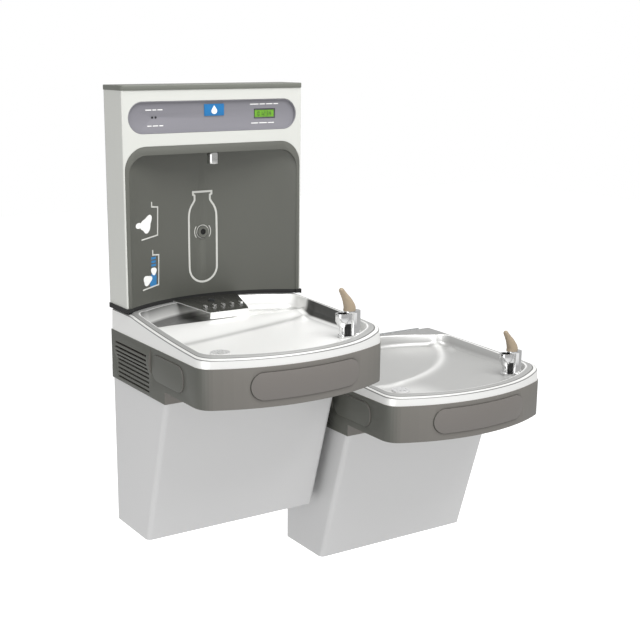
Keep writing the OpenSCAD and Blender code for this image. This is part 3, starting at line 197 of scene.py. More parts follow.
def finish(name, hexa, rough, grain=900.0, depth=0.06, metallic=0.0):
    """A plain finish; with a depth it gets the grain."""
    material = bpy.data.materials.new(name)
    material.use_nodes = True
    shader = shader_of(material)
    shader.inputs["Base Color"].default_value = linear(hexa)
    shader.inputs["Roughness"].default_value = rough
    shader.inputs["Metallic"].default_value = metallic
    if depth:
        use = material.node_tree.nodes.new("ShaderNodeGroup")
        use.node_tree = GRAIN
        use.inputs["Scale"].default_value = grain
        use.inputs["Depth"].default_value = depth
        material.node_tree.links.new(use.outputs["Normal"], shader.inputs["Normal"])
    return material


def steel(name, hexa, low, high, across, depth=0.03, metallic=1.0):
    """A brushed finish whose roughness runs from low to high over the streaks."""
    material = finish(name, hexa, low, depth=0.0, metallic=metallic)
    use = material.node_tree.nodes.new("ShaderNodeGroup")
    use.node_tree = STREAKS
    use.inputs["Across"].default_value = across
    use.inputs["Depth"].default_value = depth
    use.inputs["Low"].default_value = low
    use.inputs["High"].default_value = high
    shader = shader_of(material)
    material.node_tree.links.new(use.outputs["Normal"], shader.inputs["Normal"])
    material.node_tree.links.new(use.outputs["Roughness"], shader.inputs["Roughness"])
    return material


def toned(material, dark, light):
    """The base colour runs from dark to light with the mesh's tone attribute."""
    tree = material.node_tree
    tone = tree.nodes.new("ShaderNodeAttribute")
    tone.attribute_name = "tone"
    ramp = tree.nodes.new("ShaderNodeMix")
    ramp.data_type = "RGBA"
    ramp.inputs[6].default_value = linear(dark)
    ramp.inputs[7].default_value = linear(light)
    tree.links.new(tone.outputs["Fac"], ramp.inputs[0])
    tree.links.new(ramp.outputs[2], shader_of(material).inputs["Base Color"])
    return material


# %% [markdown]
# The colours were chosen against the photograph's evenly lit faces. The dark moulding is a
# warm grey, the cabinets' coat a neutral light grey and the tower's coat a slightly warmer one.
# %% The finishes by slot
ALONG_X, ALONG_Y = (60.0, 1100.0, 1100.0), (900.0, 60.0, 900.0)
MATERIALS = {
    "tower_paint": finish("tower_paint", "C9CAC5", 0.42, 1500, 0.05),
    "cap_plastic": finish("cap_plastic", "6A6C65", 0.45, 1600, 0.08),
    "liner_plastic": finish("liner_plastic", "5C5D57", 0.5, 1600, 0.1),
    "panel_plastic": finish("panel_plastic", "7D7C82", 0.45, 1600, 0.06),
    "display_glass": finish("display_glass", "6FA835", 0.12, depth=0.0),
    "badge_plastic": finish("badge_plastic", "1F6FA8", 0.3, depth=0.0),
    "lens_plastic": finish("lens_plastic", "2A2A2C", 0.15, depth=0.0),
    "sensor_plastic": finish("sensor_plastic", "141414", 0.12, depth=0.0),
    "nozzle_chrome": finish("nozzle_chrome", "C8C8C6", 0.12, depth=0.0, metallic=1.0),
    "gasket_rubber": finish("gasket_rubber", "161616", 0.7, 2500, 0.2),
    "valve_brass": finish("valve_brass", "B08D4C", 0.35, metallic=1.0),
    "valve_steel": steel("valve_steel", "C9C9C9", 0.2, 0.35, ALONG_Y),
    "tube_plastic": finish("tube_plastic", "E4E4DF", 0.35, depth=0.0),
    "board_laminate": finish("board_laminate", "1E6B3A", 0.3, depth=0.0),
    # The shelf's dark colour is painted shade, laid on its top by the tone.
    "shelf_steel": toned(steel("shelf_steel", "F0F0EE", 0.2, 0.3, ALONG_X, metallic=0.6),
                         "50504C", "F4F4F2"),
    "screw_plastic": finish("screw_plastic", "26282A", 0.35, depth=0.0),
    # The basin's dark colour is painted reflection and painted shade, laid on by the tone.
    "basin_steel": toned(steel("basin_steel", "FAFAF8", 0.36, 0.42, ALONG_X, 0.002, 0.45),
                         "2A2A28", "FCFCFA"),
    # The aprons' and pads' dark colours are painted shade, laid on their sides by the tone.
    "apron_plastic": toned(finish("apron_plastic", "6E6B66", 0.48, 1600, 0.1),
                           "555650", "706D68"),
    "pad_plastic": toned(finish("pad_plastic", "6E6A66", 0.46, 1600, 0.1), "555650", "706C68"),
    "spring_steel": finish("spring_steel", "BFBFBF", 0.25, depth=0.0, metallic=1.0),
    "bubbler_chrome": finish("bubbler_chrome", "DADADA", 0.09, depth=0.0, metallic=1.0),
    "guard_rubber": finish("guard_rubber", "9A8B76", 0.5, 1800, 0.05),
    "strainer_steel": finish("strainer_steel", "E4E4E4", 0.35, depth=0.0, metallic=0.6),
    "drain_plastic": finish("drain_plastic", "2C2C2C", 0.4, depth=0.0),
    "cabinet_paint": finish("cabinet_paint", "CBCBCB", 0.42, 1500, 0.05),
    "chassis_steel": steel("chassis_steel", "B8BABC", 0.3, 0.5, ALONG_X),
    "hanger_steel": steel("hanger_steel", "B8BABC", 0.3, 0.5, ALONG_X),
    "compressor_paint": finish("compressor_paint", "1B1B1C", 0.3),
    "condenser_paint": finish("condenser_paint", "202022", 0.4),
    "motor_paint": finish("motor_paint", "77797B", 0.4),
    "fan_plastic": finish("fan_plastic", "26272A", 0.4),
    "tank_foam": finish("tank_foam", "CFCBBE", 0.7, 500, 0.3),
    "copper_tube": finish("copper_tube", "B87547", 0.25, depth=0.0, metallic=1.0),
    "filter_plastic": finish("filter_plastic", "EDEDEA", 0.3, depth=0.0),
    "inlet_plastic": finish("inlet_plastic", "1C1C1C", 0.5),
    "bar_steel": finish("bar_steel", "F2F2F2", 0.22, depth=0.0, metallic=1.0),
    # The slats' near-black colour is painted shade for the inside of the louvre slots.
    "slat_shade_black": finish("slat_shade_black", "26261F", 0.6, depth=0.0),
    "print_pale": finish("print_pale", "C9C9C4", 0.45, depth=0.0),
    "print_white": finish("print_white", "F0F0EE", 0.4, depth=0.0),
    "print_blue": finish("print_blue", "2E78AE", 0.4, depth=0.0),
    "cup_black": finish("cup_black", "0C0C0C", 0.3, depth=0.0),
    "print_dark": finish("print_dark", "2A2C26", 0.4, depth=0.0),
}
for name, node in nodes.items():
    node.data.materials.clear()
    node.data.materials.append(MATERIALS[slot_of[name]])
print("finishes:", len(MATERIALS))


# %% [markdown]
# ## Edges that catch the light
# Sheet and mouldings have small round edges. A piece that only needs those is copied from its
# solid: its flat faces are joined, its sharp edges are rounded with a bevel, and the copy stands in
# for the node. It rides the same body as the node did.
# %% Rounded copies
BODIES = frame["record"]["behaviour"]["bodies"]
node_body = {node: body for body, members in BODIES.items() for node in members}
SHARP = math.radians(30)


def rounded(node, width):
    """A copy of a node with its sharp edges rounded over a width in millimetres."""
    mesh = nodes[node].data.copy()
    work = bmesh.new()
    work.from_mesh(mesh)
    bmesh.ops.remove_doubles(work, verts=work.verts, dist=2e-6)
    bmesh.ops.dissolve_limit(work, angle_limit=math.radians(1.0), verts=work.verts, edges=work.edges,
                             delimit={"NORMAL"})
    edges = [e for e in work.edges if e.is_manifold and e.calc_face_angle() > SHARP]
    bmesh.ops.bevel(work, geom=edges, offset=width * MM, segments=2, profile=0.5,
                    affect="EDGES", clamp_overlap=True)
    work.to_mesh(mesh)
    work.free()
    mesh.shade_smooth()
    mesh.set_sharp_from_angle(angle=math.radians(40))
    piece = bpy.data.objects.new(node + "_form", mesh)
    scene.collection.objects.link(piece)
    piece.data.materials.clear()
    piece.data.materials.append(MATERIALS[slot_of[node]])
    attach(piece, node_body[node])
    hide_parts(node)
    return piece


# %% [markdown]
# ## Outline of a fountain
# Seen from above a fountain has straight sides, round corners and a bowed front. One function gives
# that outline at any inset, and the basin's every ring comes from it. All its rings have the same
# number of points, so that the next ring's points lie beside this one's.
# %% Plan outline
SIDE_STEPS, CORNER_STEPS, FRONT_STEPS = 24, 12, 60


def arc(mid, r, a0, a1, n):
    """Points on a circle from one angle to another, in n equal steps."""
    return [(mid[0] + r * math.cos(math.radians(a0 + (a1 - a0) * i / n)),
             mid[1] + r * math.sin(math.radians(a0 + (a1 - a0) * i / n))) for i in range(n + 1)]


def outline(w, d, bow, front_r, rear, sag, rear_r):
    """Half width w, front at -d with its bow and corner radius, rear edge with its own."""
    r = ((w - front_r) ** 2 + bow ** 2) / (2 * bow)
    arc_y = -d + r
    cx = w - front_r
    cy = arc_y - math.sqrt((r - front_r) ** 2 - cx * cx)
    lean = math.degrees(math.atan2(cy - arc_y, -cx)) + 360
    side_y, rear_x = -rear - sag - rear_r, w - rear_r
    loop = [(-w, side_y + (cy - side_y) * i / SIDE_STEPS) for i in range(SIDE_STEPS)]
    loop += arc((-cx, cy), front_r, 180, lean, CORNER_STEPS)
    loop += arc((0, arc_y), r, lean, 540 - lean, FRONT_STEPS)[1:-1]
    loop += arc((cx, cy), front_r, 540 - lean, 360, CORNER_STEPS)
    loop += [(w, cy + (side_y - cy) * i / SIDE_STEPS) for i in range(1, SIDE_STEPS)]
    loop += arc((rear_x, side_y), rear_r, 0, 90, CORNER_STEPS)
    across = [rear_x - 2 * rear_x * i / FRONT_STEPS for i in range(1, FRONT_STEPS)]
    loop += [(x, -rear - sag * (x / rear_x) ** 2) for x in across]
    loop += arc((-rear_x, side_y), rear_r, 90, 180, CORNER_STEPS)[:-1]
    return np.array(loop)


# %% [markdown]
# ## The basins
# A basin is one sheet of steel, drawn into a rim, a wall and a sloping floor. It is built as rings
# from the skirt's foot to the middle of the floor. The floor's height is a formula: a slow fall to
# the drain, a flat deck for the bubbler, and on the upper basin a dam under the bottle shelf, or
# on the lower one the curved crest that parts its two hollows. Each bump of the relief fades out
# over a named distance, so that the sheet stays smooth.
# %% Floor relief
LEFT_BEND, RIGHT_BEND = 1.75, 0.3
FALL = 0.03
DRAIN_FLAT, DRAIN_FADE = 28.0, 30.0
DAM_TOP, DAM_Y, DAM_REAR = 27.0, -150.0, 26.0
DAM_FRONT_RIGHT, DAM_FRONT_MORE = 30.0, 100.0
CREST_MID, CREST_R, CREST_H, CREST_W = (-150.0, 30.0), 345.0, 6.0, 14.0
KNOB, LOW_KNOB, KNOB_H, KNOB_R = (160.0, -205.0), (180.0, -146.0), 9.0, 11.0
DECK_FLAT, DECK_FADE = 34.0, 70.0


def blend(t):
    """A soft step from 0 to 1."""
    t = np.clip(t, 0, 1)
    return t * t * (3 - 2 * t)


def rim_z(x, y, dam):
    """The rim rises to the rear, early on the right side and late on the left."""
    back, flat = (RIM_BACK, 100) if dam else (LOW_RIM_BACK, 40)
    t = np.clip((RIM_LEVEL + y) / (RIM_LEVEL - flat), 0, 1)
    bend = LEFT_BEND + (RIGHT_BEND - LEFT_BEND) * np.clip((x + HALF) / UNIT_W, 0, 1) ** 3
    return RIM_FRONT + (back - RIM_FRONT) * t ** bend


def apart(x, y, place):
    """How far x, y lies from a place, seen from above."""
    return np.hypot(x - place[0], y - place[1])


def dam_front(x):
    """How far the dam's front slope reaches forward; it widens to the left."""
    return DAM_FRONT_RIGHT + DAM_FRONT_MORE * (HALF - x) / UNIT_W


def deck_share(x, y):
    """1 on the bubbler's flat deck, falling to 0 round it."""
    return blend(1 - (apart(x, y, BUBBLER) - DECK_FLAT) / DECK_FADE)


def floor_z(x, y, dam):
    """Height of the floor, with the dam or with the crest."""
    z = FLOOR + FALL * apart(x, y, DRAIN)
    if dam:
        rear = blend(1 - (y - DAM_Y) / DAM_REAR)
        front = blend(1 - (DAM_Y - y) / dam_front(x))
        z = z + (DAM_TOP - z) * np.where(y > DAM_Y, rear, front)
    else:
        near = blend(1 - (apart(x, y, DRAIN) - DRAIN_FLAT) / DRAIN_FADE)
        off_crest = apart(x, y, CREST_MID) - CREST_R
        z = z + (1 - near) * CREST_H * np.exp(-(off_crest / CREST_W) ** 2)
    z = z + KNOB_H * np.exp(-(apart(x, y, KNOB if dam else LOW_KNOB) / KNOB_R) ** 2)
    return z + (DECK - z) * deck_share(x, y)


# %% [markdown]
# The sheet has an upper and an under side, joined at the skirt's foot. Holes for the strainer and
# the bubbler's shank are hidden under their flanges, so they are left closed here. Round the bowl
# the sheet is rolled: a crease over the skirt, a ledge, a fine groove and a rising band up to the
# crest. Each ring carries a tone that sets how bright the sheet is drawn there: the crease, the
# groove and the rising band are darkened as painted shade. The under side keeps its distance:
# under the rolled band it lies further in, behind the wall further out.
# %% Basin mesh
SHEET, REAR_GAP = 1.2, 2.3
MIDDLE = np.array([-20.0, -245.0])
FLOOR_RINGS, MOUTH_REAR = 60, 33.0
# The last value of each skirt and crest ring is its tone: the low ones are painted shade in the
# crease, the groove and the rising band.
SKIRT_RINGS = ((2.6, 8.0, 1.0), (2.8, 6.9, 0.2), (3.2, 6.0, 0.2), (4.2, 5.3, 1.0),
               (8.6, 3.7, 1.0), (9.4, 3.6, 0.15), (10.4, 3.2, 0.15), (11.2, 2.7, 0.45))
CREST_RINGS = ((-3.5, 0.7, 0.4), (-1.4, 0.12, 0.5), (0.0, 0.0, 1.0), (1.3, 0.5, 1.0),
               (2.4, 1.8, 1.0))
WALL_RINGS = ((5.0, 0.34), (6.8, 0.19), (9.2, 0.08), (12.0, 0.02), (17.0, 0.0))


def basin_rings(t, dam):
    """Rings of one side of the sheet, t below the upper side, each with its tone."""
    def skirt(inset, rear):
        return outline(HALF - inset - t, UNIT_D - inset - t, BOW, CORNER, rear + t, 0, 2.5)

    def mouth(inset):
        away = t / 2 if inset < 0 else -t if inset > 0 else 0
        edge = INSET + LEDGE + inset + away
        return outline(HALF - edge, UNIT_D - edge, BOW, CORNER, MOUTH_REAR + inset + away, 55, 28)

    def lifted(loop, z):
        return [(p[0], p[1], float(h)) for p, h in zip(loop, np.broadcast_to(z, len(loop)))]

    def on_rim(loop, drop):
        return lifted(loop, rim_z(loop[:, 0], loop[:, 1], dam) - drop)

    rings, tones = [lifted(skirt(1, REAR_GAP), 0.0)], [1.0]
    for inset, drop, tone in SKIRT_RINGS:
        rings.append(on_rim(skirt(inset, REAR_GAP + inset - INSET), drop + t))
        tones.append(tone)
    for inset, drop, tone in CREST_RINGS:
        rings.append(on_rim(mouth(inset), drop + t))
        tones.append(tone)
    for inset, share in WALL_RINGS:
        last = mouth(inset)
        x, y = last[:, 0], last[:, 1]
        z = floor_z(x, y, dam)
        up = share * (rim_z(x, y, dam) - z) * (1 - deck_share(x, y))
        rings.append(lifted(last, z + up - t))
        # The wall's rings are drawn a little darker, as painted shade.
        tones.append(0.9)
    for share in np.linspace(1, 0.02, FLOOR_RINGS)[1:]:
        loop = MIDDLE + share * (last - MIDDLE)
        rings.append(lifted(loop, floor_z(loop[:, 0], loop[:, 1], dam) - t))
        tones.append(1.0)
    return rings, tones


# %% [markdown]
# A drawn basin mirrors what stands round it, and the photograph shows dark patches at the upper
# basin's rear and on its right wall. They are painted on here by place, so they fit the photograph's
# view. From other sides they stay where they are, which real reflections wouldn't. A ring's number
# says how far down the sheet a point lies, and steps across the plan say where each patch is.
# %% Painted reflections and shade on the sheet
SKIRT_END, CREST_TOP, WALL_TOP, WALL_LOW, WALL_END = 8, 12, 14, 16, 22
# These strengths set the painted reflections before the alcove, the painted shade at the dam's foot
# and the painted shade inside the lower basin.
LEFT_REFLECTION_DARK, REAR_REFLECTION_DARK, FOOT_SHADE_DARK, LOW_SHADE_DARK = 0.84, 0.45, 0.36, 0.5
RIDGE_W, FOOT_W, FOOT_SHARE = 9.0, 9.0, 0.92


def step(value, start, width):
    """Rises softly from 0 to 1 over a width; a negative width falls instead."""
    return float(blend((value - start) / width))


def low_tone(x, y, ring):
    """Painted shade inside the lower basin, less of it on the crest and at the front left."""
    # The crest keeps a painted highlight, and the front left corner gets less painted shade.
    ridge = math.exp(-((apart(x, y, CREST_MID) - CREST_R) / RIDGE_W) ** 2)
    corner = step(y, -300, -70) * step(x, -40, -80)
    return 1 - LOW_SHADE_DARK * (ring > CREST_TOP) * (1 - 0.7 * ridge) * (1 - 0.5 * corner)


def high_tone(x, y, ring):
    """Painted reflections before the alcove and on the right wall, and painted shade at the dam's
    foot.
    """
    inner = step(x, -204, 6) * step(y, -152, 6)
    # On the wall's top ring the painted reflection is weaker, which leaves a painted highlight along
    # the rolled edge.
    left = inner * step(x, 10, -60) * (0.3 if ring == WALL_TOP else 1)
    rear = inner * step(x, 60, 20) * (ring >= WALL_LOW)
    foot = math.exp(-((y - DAM_Y + FOOT_SHARE * dam_front(x)) / FOOT_W) ** 2)
    # The right wall gets a painted reflection, strong on the wall and weaker on the floor.
    start, width, right_reflection_dark = (188, 6, 0.92) if ring < WALL_END else (150, 40, 0.3)
    right = step(x, start, width) * step(y, -150, -14) * step(y, -400, 70)
    alcove = LEFT_REFLECTION_DARK * left + REAR_REFLECTION_DARK * rear
    return (1 - alcove) * (1 - FOOT_SHADE_DARK * foot) * (1 - right_reflection_dark * right)


def sheet_tone(p, tone, dam, ring):
    """The tone at a point of a basin's upper side; the skirt only takes its ring's own."""
    if ring < SKIRT_END:
        # The skirt is drawn a tenth darker, as painted shade.
        return 0.9 * tone
    if dam and ring < CREST_TOP:
        return tone
    return tone * (high_tone if dam else low_tone)(p[0], p[1], ring)


# %% [markdown]
# Both sides of the sheet are laid in one run of rings, from the under side's middle over the
# skirt's foot to the upper side's middle, and closed there. That gives one closed sheet of steel.
# %% Two basins
def basin(name, node, dam, offset):
    """One basin, in place of its node."""
    under, _ = basin_rings(SHEET, dam)
    top, tones = basin_rings(0.0, dam)
    points, faces = skin(under[::-1] + top, cap_start=True, cap_end=True)
    piece = build(name, points, faces, 50, offset)
    tone = piece.data.attributes.new("tone", "FLOAT", "POINT")
    values = [1.0 for ring in under for p in ring]
    for i, ring in enumerate(top):
        values += [sheet_tone(p, tones[i], dam, i) for p in ring]
    tone.data.foreach_set("value", values)
    piece.data.materials.append(MATERIALS["basin_steel"])
    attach(piece, "housing")
    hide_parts(node)
    print(name, len(piece.data.polygons), "faces")
    return piece


basin("upper_bowl", "upper_basin", True, UPPER)
basin("lower_bowl", "lower_basin", False, LOWER)

# %% [markdown]
# ## Rounded sheet and mouldings
# The cap, the aprons, the pads, the alcove's moulding, the panel, the shelf and the bubblers are
# all pressed, cast or moulded, so their outer edges are round. How round follows from how each is
# made: sheet keeps a small radius, a moulding or casting a larger one. In the photograph the shelf's
# top looks darker than its front edge, and the aprons' and pads' sides darker than their fronts. The
# tone paints that on as painted shade, by the direction that each face points.
# %% Rounded pieces
def tone_faces(node, rule):
    """Writes a tone for each face of a rounded piece, worked out from the face's normal."""
    mesh = bpy.data.objects[node + "_form"].data
    tone = mesh.attributes.new("tone", "FLOAT", "FACE")
    tone.data.foreach_set("value", [rule(face.normal) for face in mesh.polygons])


SOFT = {"tower_cap": 1.5, "alcove_liner": 0.9, "control_panel": 0.6, "bottle_shelf": 0.6,
        "display_window": 0.3, "badge_plate": 0.4, "fill_nozzle": 0.8}
for unit, _ in UNITS:
    SOFT.update({unit + "_apron": 0.8, unit + "_front_pad": 1.6, unit + "_left_pad": 1.4,
                 unit + "_right_pad": 1.4, unit + "_bubbler": 0.8})
for node, width in SOFT.items():
    rounded(node, width)
    if node.endswith(("apron", "pad")):
        # Painted shade: the side faces of the aprons and pads are drawn darker than their fronts.
        tone_faces(node, lambda normal: 1.0 - min(max((abs(normal.x) - 0.3) / 0.6, 0.0), 1.0))
# Painted shade: the shelf's upward faces are drawn darker than its edges.
tone_faces("bottle_shelf", lambda normal: 0.0 if normal.z > 0.9 else 1.0)
print("rounded:", len(SOFT))

# %% [markdown]
# ## The mouth guard
# The real guard is a soft horn that would be moulded over a core, so its outline has no corners. A
# smooth line through the construction's stops gives the middle and the radius of each ring.
# %% Mouth guards
GUARD_RINGS, GUARD_SIDES = 33, 40
GUARD = [(2.7, 58.4, 13.3), (3, 66, 13.0), (-2.5, 80, 10.3), (-9.5, 92, 7.4), (-16, 103, 5.7)]
TURN = math.radians(-12)


def at_bubbler(p, offset):
    """From the bubbler's own frame to the unit's."""
    x = BUBBLER[0] + p[0] * math.cos(TURN) - p[1] * math.sin(TURN)
    y = BUBBLER[1] + p[0] * math.sin(TURN) + p[1] * math.cos(TURN)
    return (x + offset[0], y + offset[1], DECK + p[2] + offset[2])


def spline(stops, t):
    """A smooth curve through all stops at t from 0 to 1."""
    a = np.array([stops[0]] + list(stops) + [stops[-1]], dtype=float)
    i = min(int(t * (len(stops) - 1)), len(stops) - 2)
    u = t * (len(stops) - 1) - i
    p0, p1, p2, p3 = a[i:i + 4]
    return 0.5 * (2 * p1 + (p2 - p0) * u + (2 * p0 - 5 * p1 + 4 * p2 - p3) * u ** 2
                  + (3 * p1 - p0 - 3 * p2 + p3) * u ** 3)


def ring_at(x, z, r, lean, offset, count):
    """A round ring about a bubbler's own point, leaning back by an angle."""
    ring = []
    for k in range(count):
        across = r * math.cos(2 * math.pi * k / count)
        side = r * math.sin(2 * math.pi * k / count)
        point = (x + across * math.cos(lean), side, z + across * math.sin(lean))
        ring.append(at_bubbler(point, offset))
    return ring


def guard(name, node, offset):
    """Rings along the horn's spline, closed by a round nose."""
    rings = []
    for t in np.linspace(0, 1, GUARD_RINGS):
        x, z, r = spline(GUARD, t)
        ahead = spline(GUARD, min(t + 0.02, 1)) - spline(GUARD, max(t - 0.02, 0))
        lean = math.atan2(-ahead[0], ahead[1]) * float(blend(t * 3))
        rings.append(ring_at(x, z, r, lean, offset, GUARD_SIDES))
    x, z, r = GUARD[-1]
    for nose in (20, 40, 60, 78):
        slim, up = r * math.cos(math.radians(nose)), r * math.sin(math.radians(nose))
        rings.append(ring_at(x - up * math.sin(lean), z + up * math.cos(lean), slim, lean,
                             offset, GUARD_SIDES))
    points, faces = skin(rings, cap_start=True, cap_end=True)
    piece = build(name, points, faces, 50)
    piece.data.materials.append(MATERIALS["guard_rubber"])
    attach(piece, node_body[node])
    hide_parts(node)
    return piece


guard("upper_guard", "upper_mouth_guard", UPPER)
guard("lower_guard", "lower_mouth_guard", LOWER)

# %% [markdown]
# ## Rows of bars and slats
# The shelf's bars and the louvres' slats repeat at an even pitch. One node tree lays them out: a
# short run swept with a round-cornered profile, set on the points of a line.
# %% Row of bars
def socket_id(group, name):
    """The identifier of a tree's named input."""
    return next(i.identifier for i in group.interface.items_tree if i.name == name
                and i.item_type == "SOCKET" and i.in_out == "INPUT")


def new_tree(name, inputs):
    """An empty geometry tree with the given inputs, and its two end nodes."""
    group = bpy.data.node_groups.new(name, "GeometryNodeTree")
    group.interface.new_socket("Geometry", in_out="OUTPUT", socket_type="NodeSocketGeometry")
    for label, kind, value in inputs:
        made = group.interface.new_socket(label, in_out="INPUT", socket_type=kind)
        if value is not None:
            made.default_value = value
    return group, group.nodes.new("NodeGroupInput"), group.nodes.new("NodeGroupOutput")


def row_tree():
    """A tree that repeats one swept bar at an even step."""
    group, enter, leave = new_tree("row_of_bars", [
        ("Count", "NodeSocketInt", 5), ("Start", "NodeSocketVector", None),
        ("Step", "NodeSocketVector", None), ("Run", "NodeSocketVector", None),
        ("Width", "NodeSocketFloat", 0.006), ("Height", "NodeSocketFloat", 0.006),
        ("Round", "NodeSocketFloat", 0.002), ("Material", "NodeSocketMaterial", None)])
    new, link = group.nodes.new, group.links.new
    run = new("GeometryNodeCurvePrimitiveLine")
    profile = new("GeometryNodeCurvePrimitiveQuadrilateral")
    fillet = new("GeometryNodeFilletCurve")
    sweep = new("GeometryNodeCurveToMesh")
    line = new("GeometryNodeMeshLine")
    put = new("GeometryNodeInstanceOnPoints")
    real = new("GeometryNodeRealizeInstances")
    paint = new("GeometryNodeSetMaterial")
    fillet.mode = "POLY"
    fillet.inputs["Count"].default_value = 4
    sweep.inputs["Fill Caps"].default_value = True
    link(enter.outputs["Run"], run.inputs["End"])
    link(enter.outputs["Width"], profile.inputs["Width"])
    link(enter.outputs["Height"], profile.inputs["Height"])
    link(profile.outputs[0], fillet.inputs[0])
    link(enter.outputs["Round"], fillet.inputs["Radius"])
    link(run.outputs[0], sweep.inputs["Curve"])
    link(fillet.outputs[0], sweep.inputs["Profile Curve"])
    link(enter.outputs["Count"], line.inputs["Count"])
    link(enter.outputs["Start"], line.inputs["Start Location"])
    link(enter.outputs["Step"], line.inputs["Offset"])
    link(line.outputs[0], put.inputs["Points"])
    link(sweep.outputs[0], put.inputs["Instance"])
    link(put.outputs[0], real.inputs[0])
    link(real.outputs[0], paint.inputs[0])
    link(enter.outputs["Material"], paint.inputs["Material"])
    link(paint.outputs[0], leave.inputs[0])
    return group


def grown(name, group, values, offset=UPPER, smooth=40):
    """Run a tree on an empty mesh, keep its result as a plain mesh in place."""
    host = bpy.data.objects.new(name + "_host", bpy.data.meshes.new(name + "_host"))
    scene.collection.objects.link(host)
    modifier = host.modifiers.new("tree", "NODES")
    modifier.node_group = group
    for label, value in values.items():
        modifier[socket_id(group, label)] = value
    ready = host.evaluated_get(bpy.context.evaluated_depsgraph_get())
    mesh = bpy.data.meshes.new_from_object(ready)
    host.modifiers.clear()
    bpy.data.objects.remove(host)
    mesh.name = name
    mesh.transform(Matrix.Translation(Vector(offset) * MM))
    work = bmesh.new()
    work.from_mesh(mesh)
    bmesh.ops.remove_doubles(work, verts=work.verts, dist=1e-6)
    bmesh.ops.recalc_face_normals(work, faces=work.faces)
    work.to_mesh(mesh)
    work.free()
    mesh.shade_smooth()
    mesh.set_sharp_from_angle(angle=math.radians(smooth))
    piece = bpy.data.objects.new(name, mesh)
    scene.collection.objects.link(piece)
    print(name, len(mesh.polygons), "faces")
    return piece


def mm(*p):
    """Millimetres to metres."""
    return tuple(v * MM for v in p)


ROW = row_tree()

# %% [markdown]
# The shelf's five bars hold the bottle off the wet sheet. They are bright, round-topped ribs, so
# water runs off between them. They stand over the construction's plain blocks and cover them.
# %% Bars of the shelf
BAR_X, BAR_PITCH, BAR_UP, BAR_ENDS = -46.0, 23.0, 6.1, (-102.2, -91.8)
BAR_W, BAR_H, BAR_ROUND = 6.4, 8.4, 2.2
SHELF_REAR_Z, SHELF_FRONT_Z, SHELF_L, SHELF_REAR_Y = 54.0, 42.0, 130.0, -20.0
SHELF_LEAN = math.atan2(SHELF_REAR_Z - SHELF_FRONT_Z, SHELF_L)


def on_shelf(x, y, z):
    """From the shelf's own frame, y along it from its rear edge, to millimetres of the unit."""
    c, d = math.cos(SHELF_LEAN), math.sin(SHELF_LEAN)
    return (x, SHELF_REAR_Y + y * c - z * d, SHELF_REAR_Z + y * d + z * c)


start, end = [on_shelf(BAR_X, y, BAR_UP) for y in BAR_ENDS]
bars = grown("shelf_bars", ROW, {
    "Count": 5, "Start": mm(*start), "Step": mm(BAR_PITCH, 0, 0),
    "Run": mm(*[b - a for a, b in zip(start, end)]),
    "Width": BAR_W * MM, "Height": BAR_H * MM, "Round": BAR_ROUND * MM,
    "Material": MATERIALS["bar_steel"]})
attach(bars, "housing")

# %% [markdown]
# Each louvre is an opening with a slanted slat behind it, which keeps splashes out and hides the
# works. The slats are thin strips as long as the slots and lie just behind the side's face. They are
# drawn near black, darker than the moulding, as painted shade for the inside of the slots.
# %% Slats of the louvres
SLAT_IN, SLAT_FRONT, SLAT_TOP, SLAT_PITCH, SLAT_L = 3.7, -192.4, -22.5, -10.0, 158.8
SLAT_T, SLAT_H, SLAT_ROUND = 1.0, 8.4, 0.4
for unit, offset in UNITS:
    for side, sign in (("left", -1), ("right", 1)):
        slats = grown(unit + "_" + side + "_slats", ROW, {
            "Count": 9, "Start": mm(sign * (HALF - SLAT_IN), SLAT_FRONT, SLAT_TOP),
            "Step": mm(0, 0, SLAT_PITCH), "Run": mm(0, SLAT_L, 0), "Width": SLAT_T * MM,
            "Height": SLAT_H * MM, "Round": SLAT_ROUND * MM,
            "Material": MATERIALS["slat_shade_black"]}, offset)
        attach(slats, node_body[unit + "_apron"])

# %% [markdown]
# ## The strainers
# A strainer is a turned disc with a ring of drilled holes. The tree cuts the drill's copies, set on
# a circle, from the disc. The disc lies over the construction's strainer.
# %% Strainer discs
DISC_R, DISC_T, DISC_UP = 20.8, 1.5, 3.2
HOLES, HOLE_R, HOLE_RING_R = 8, 2.6, 12.0


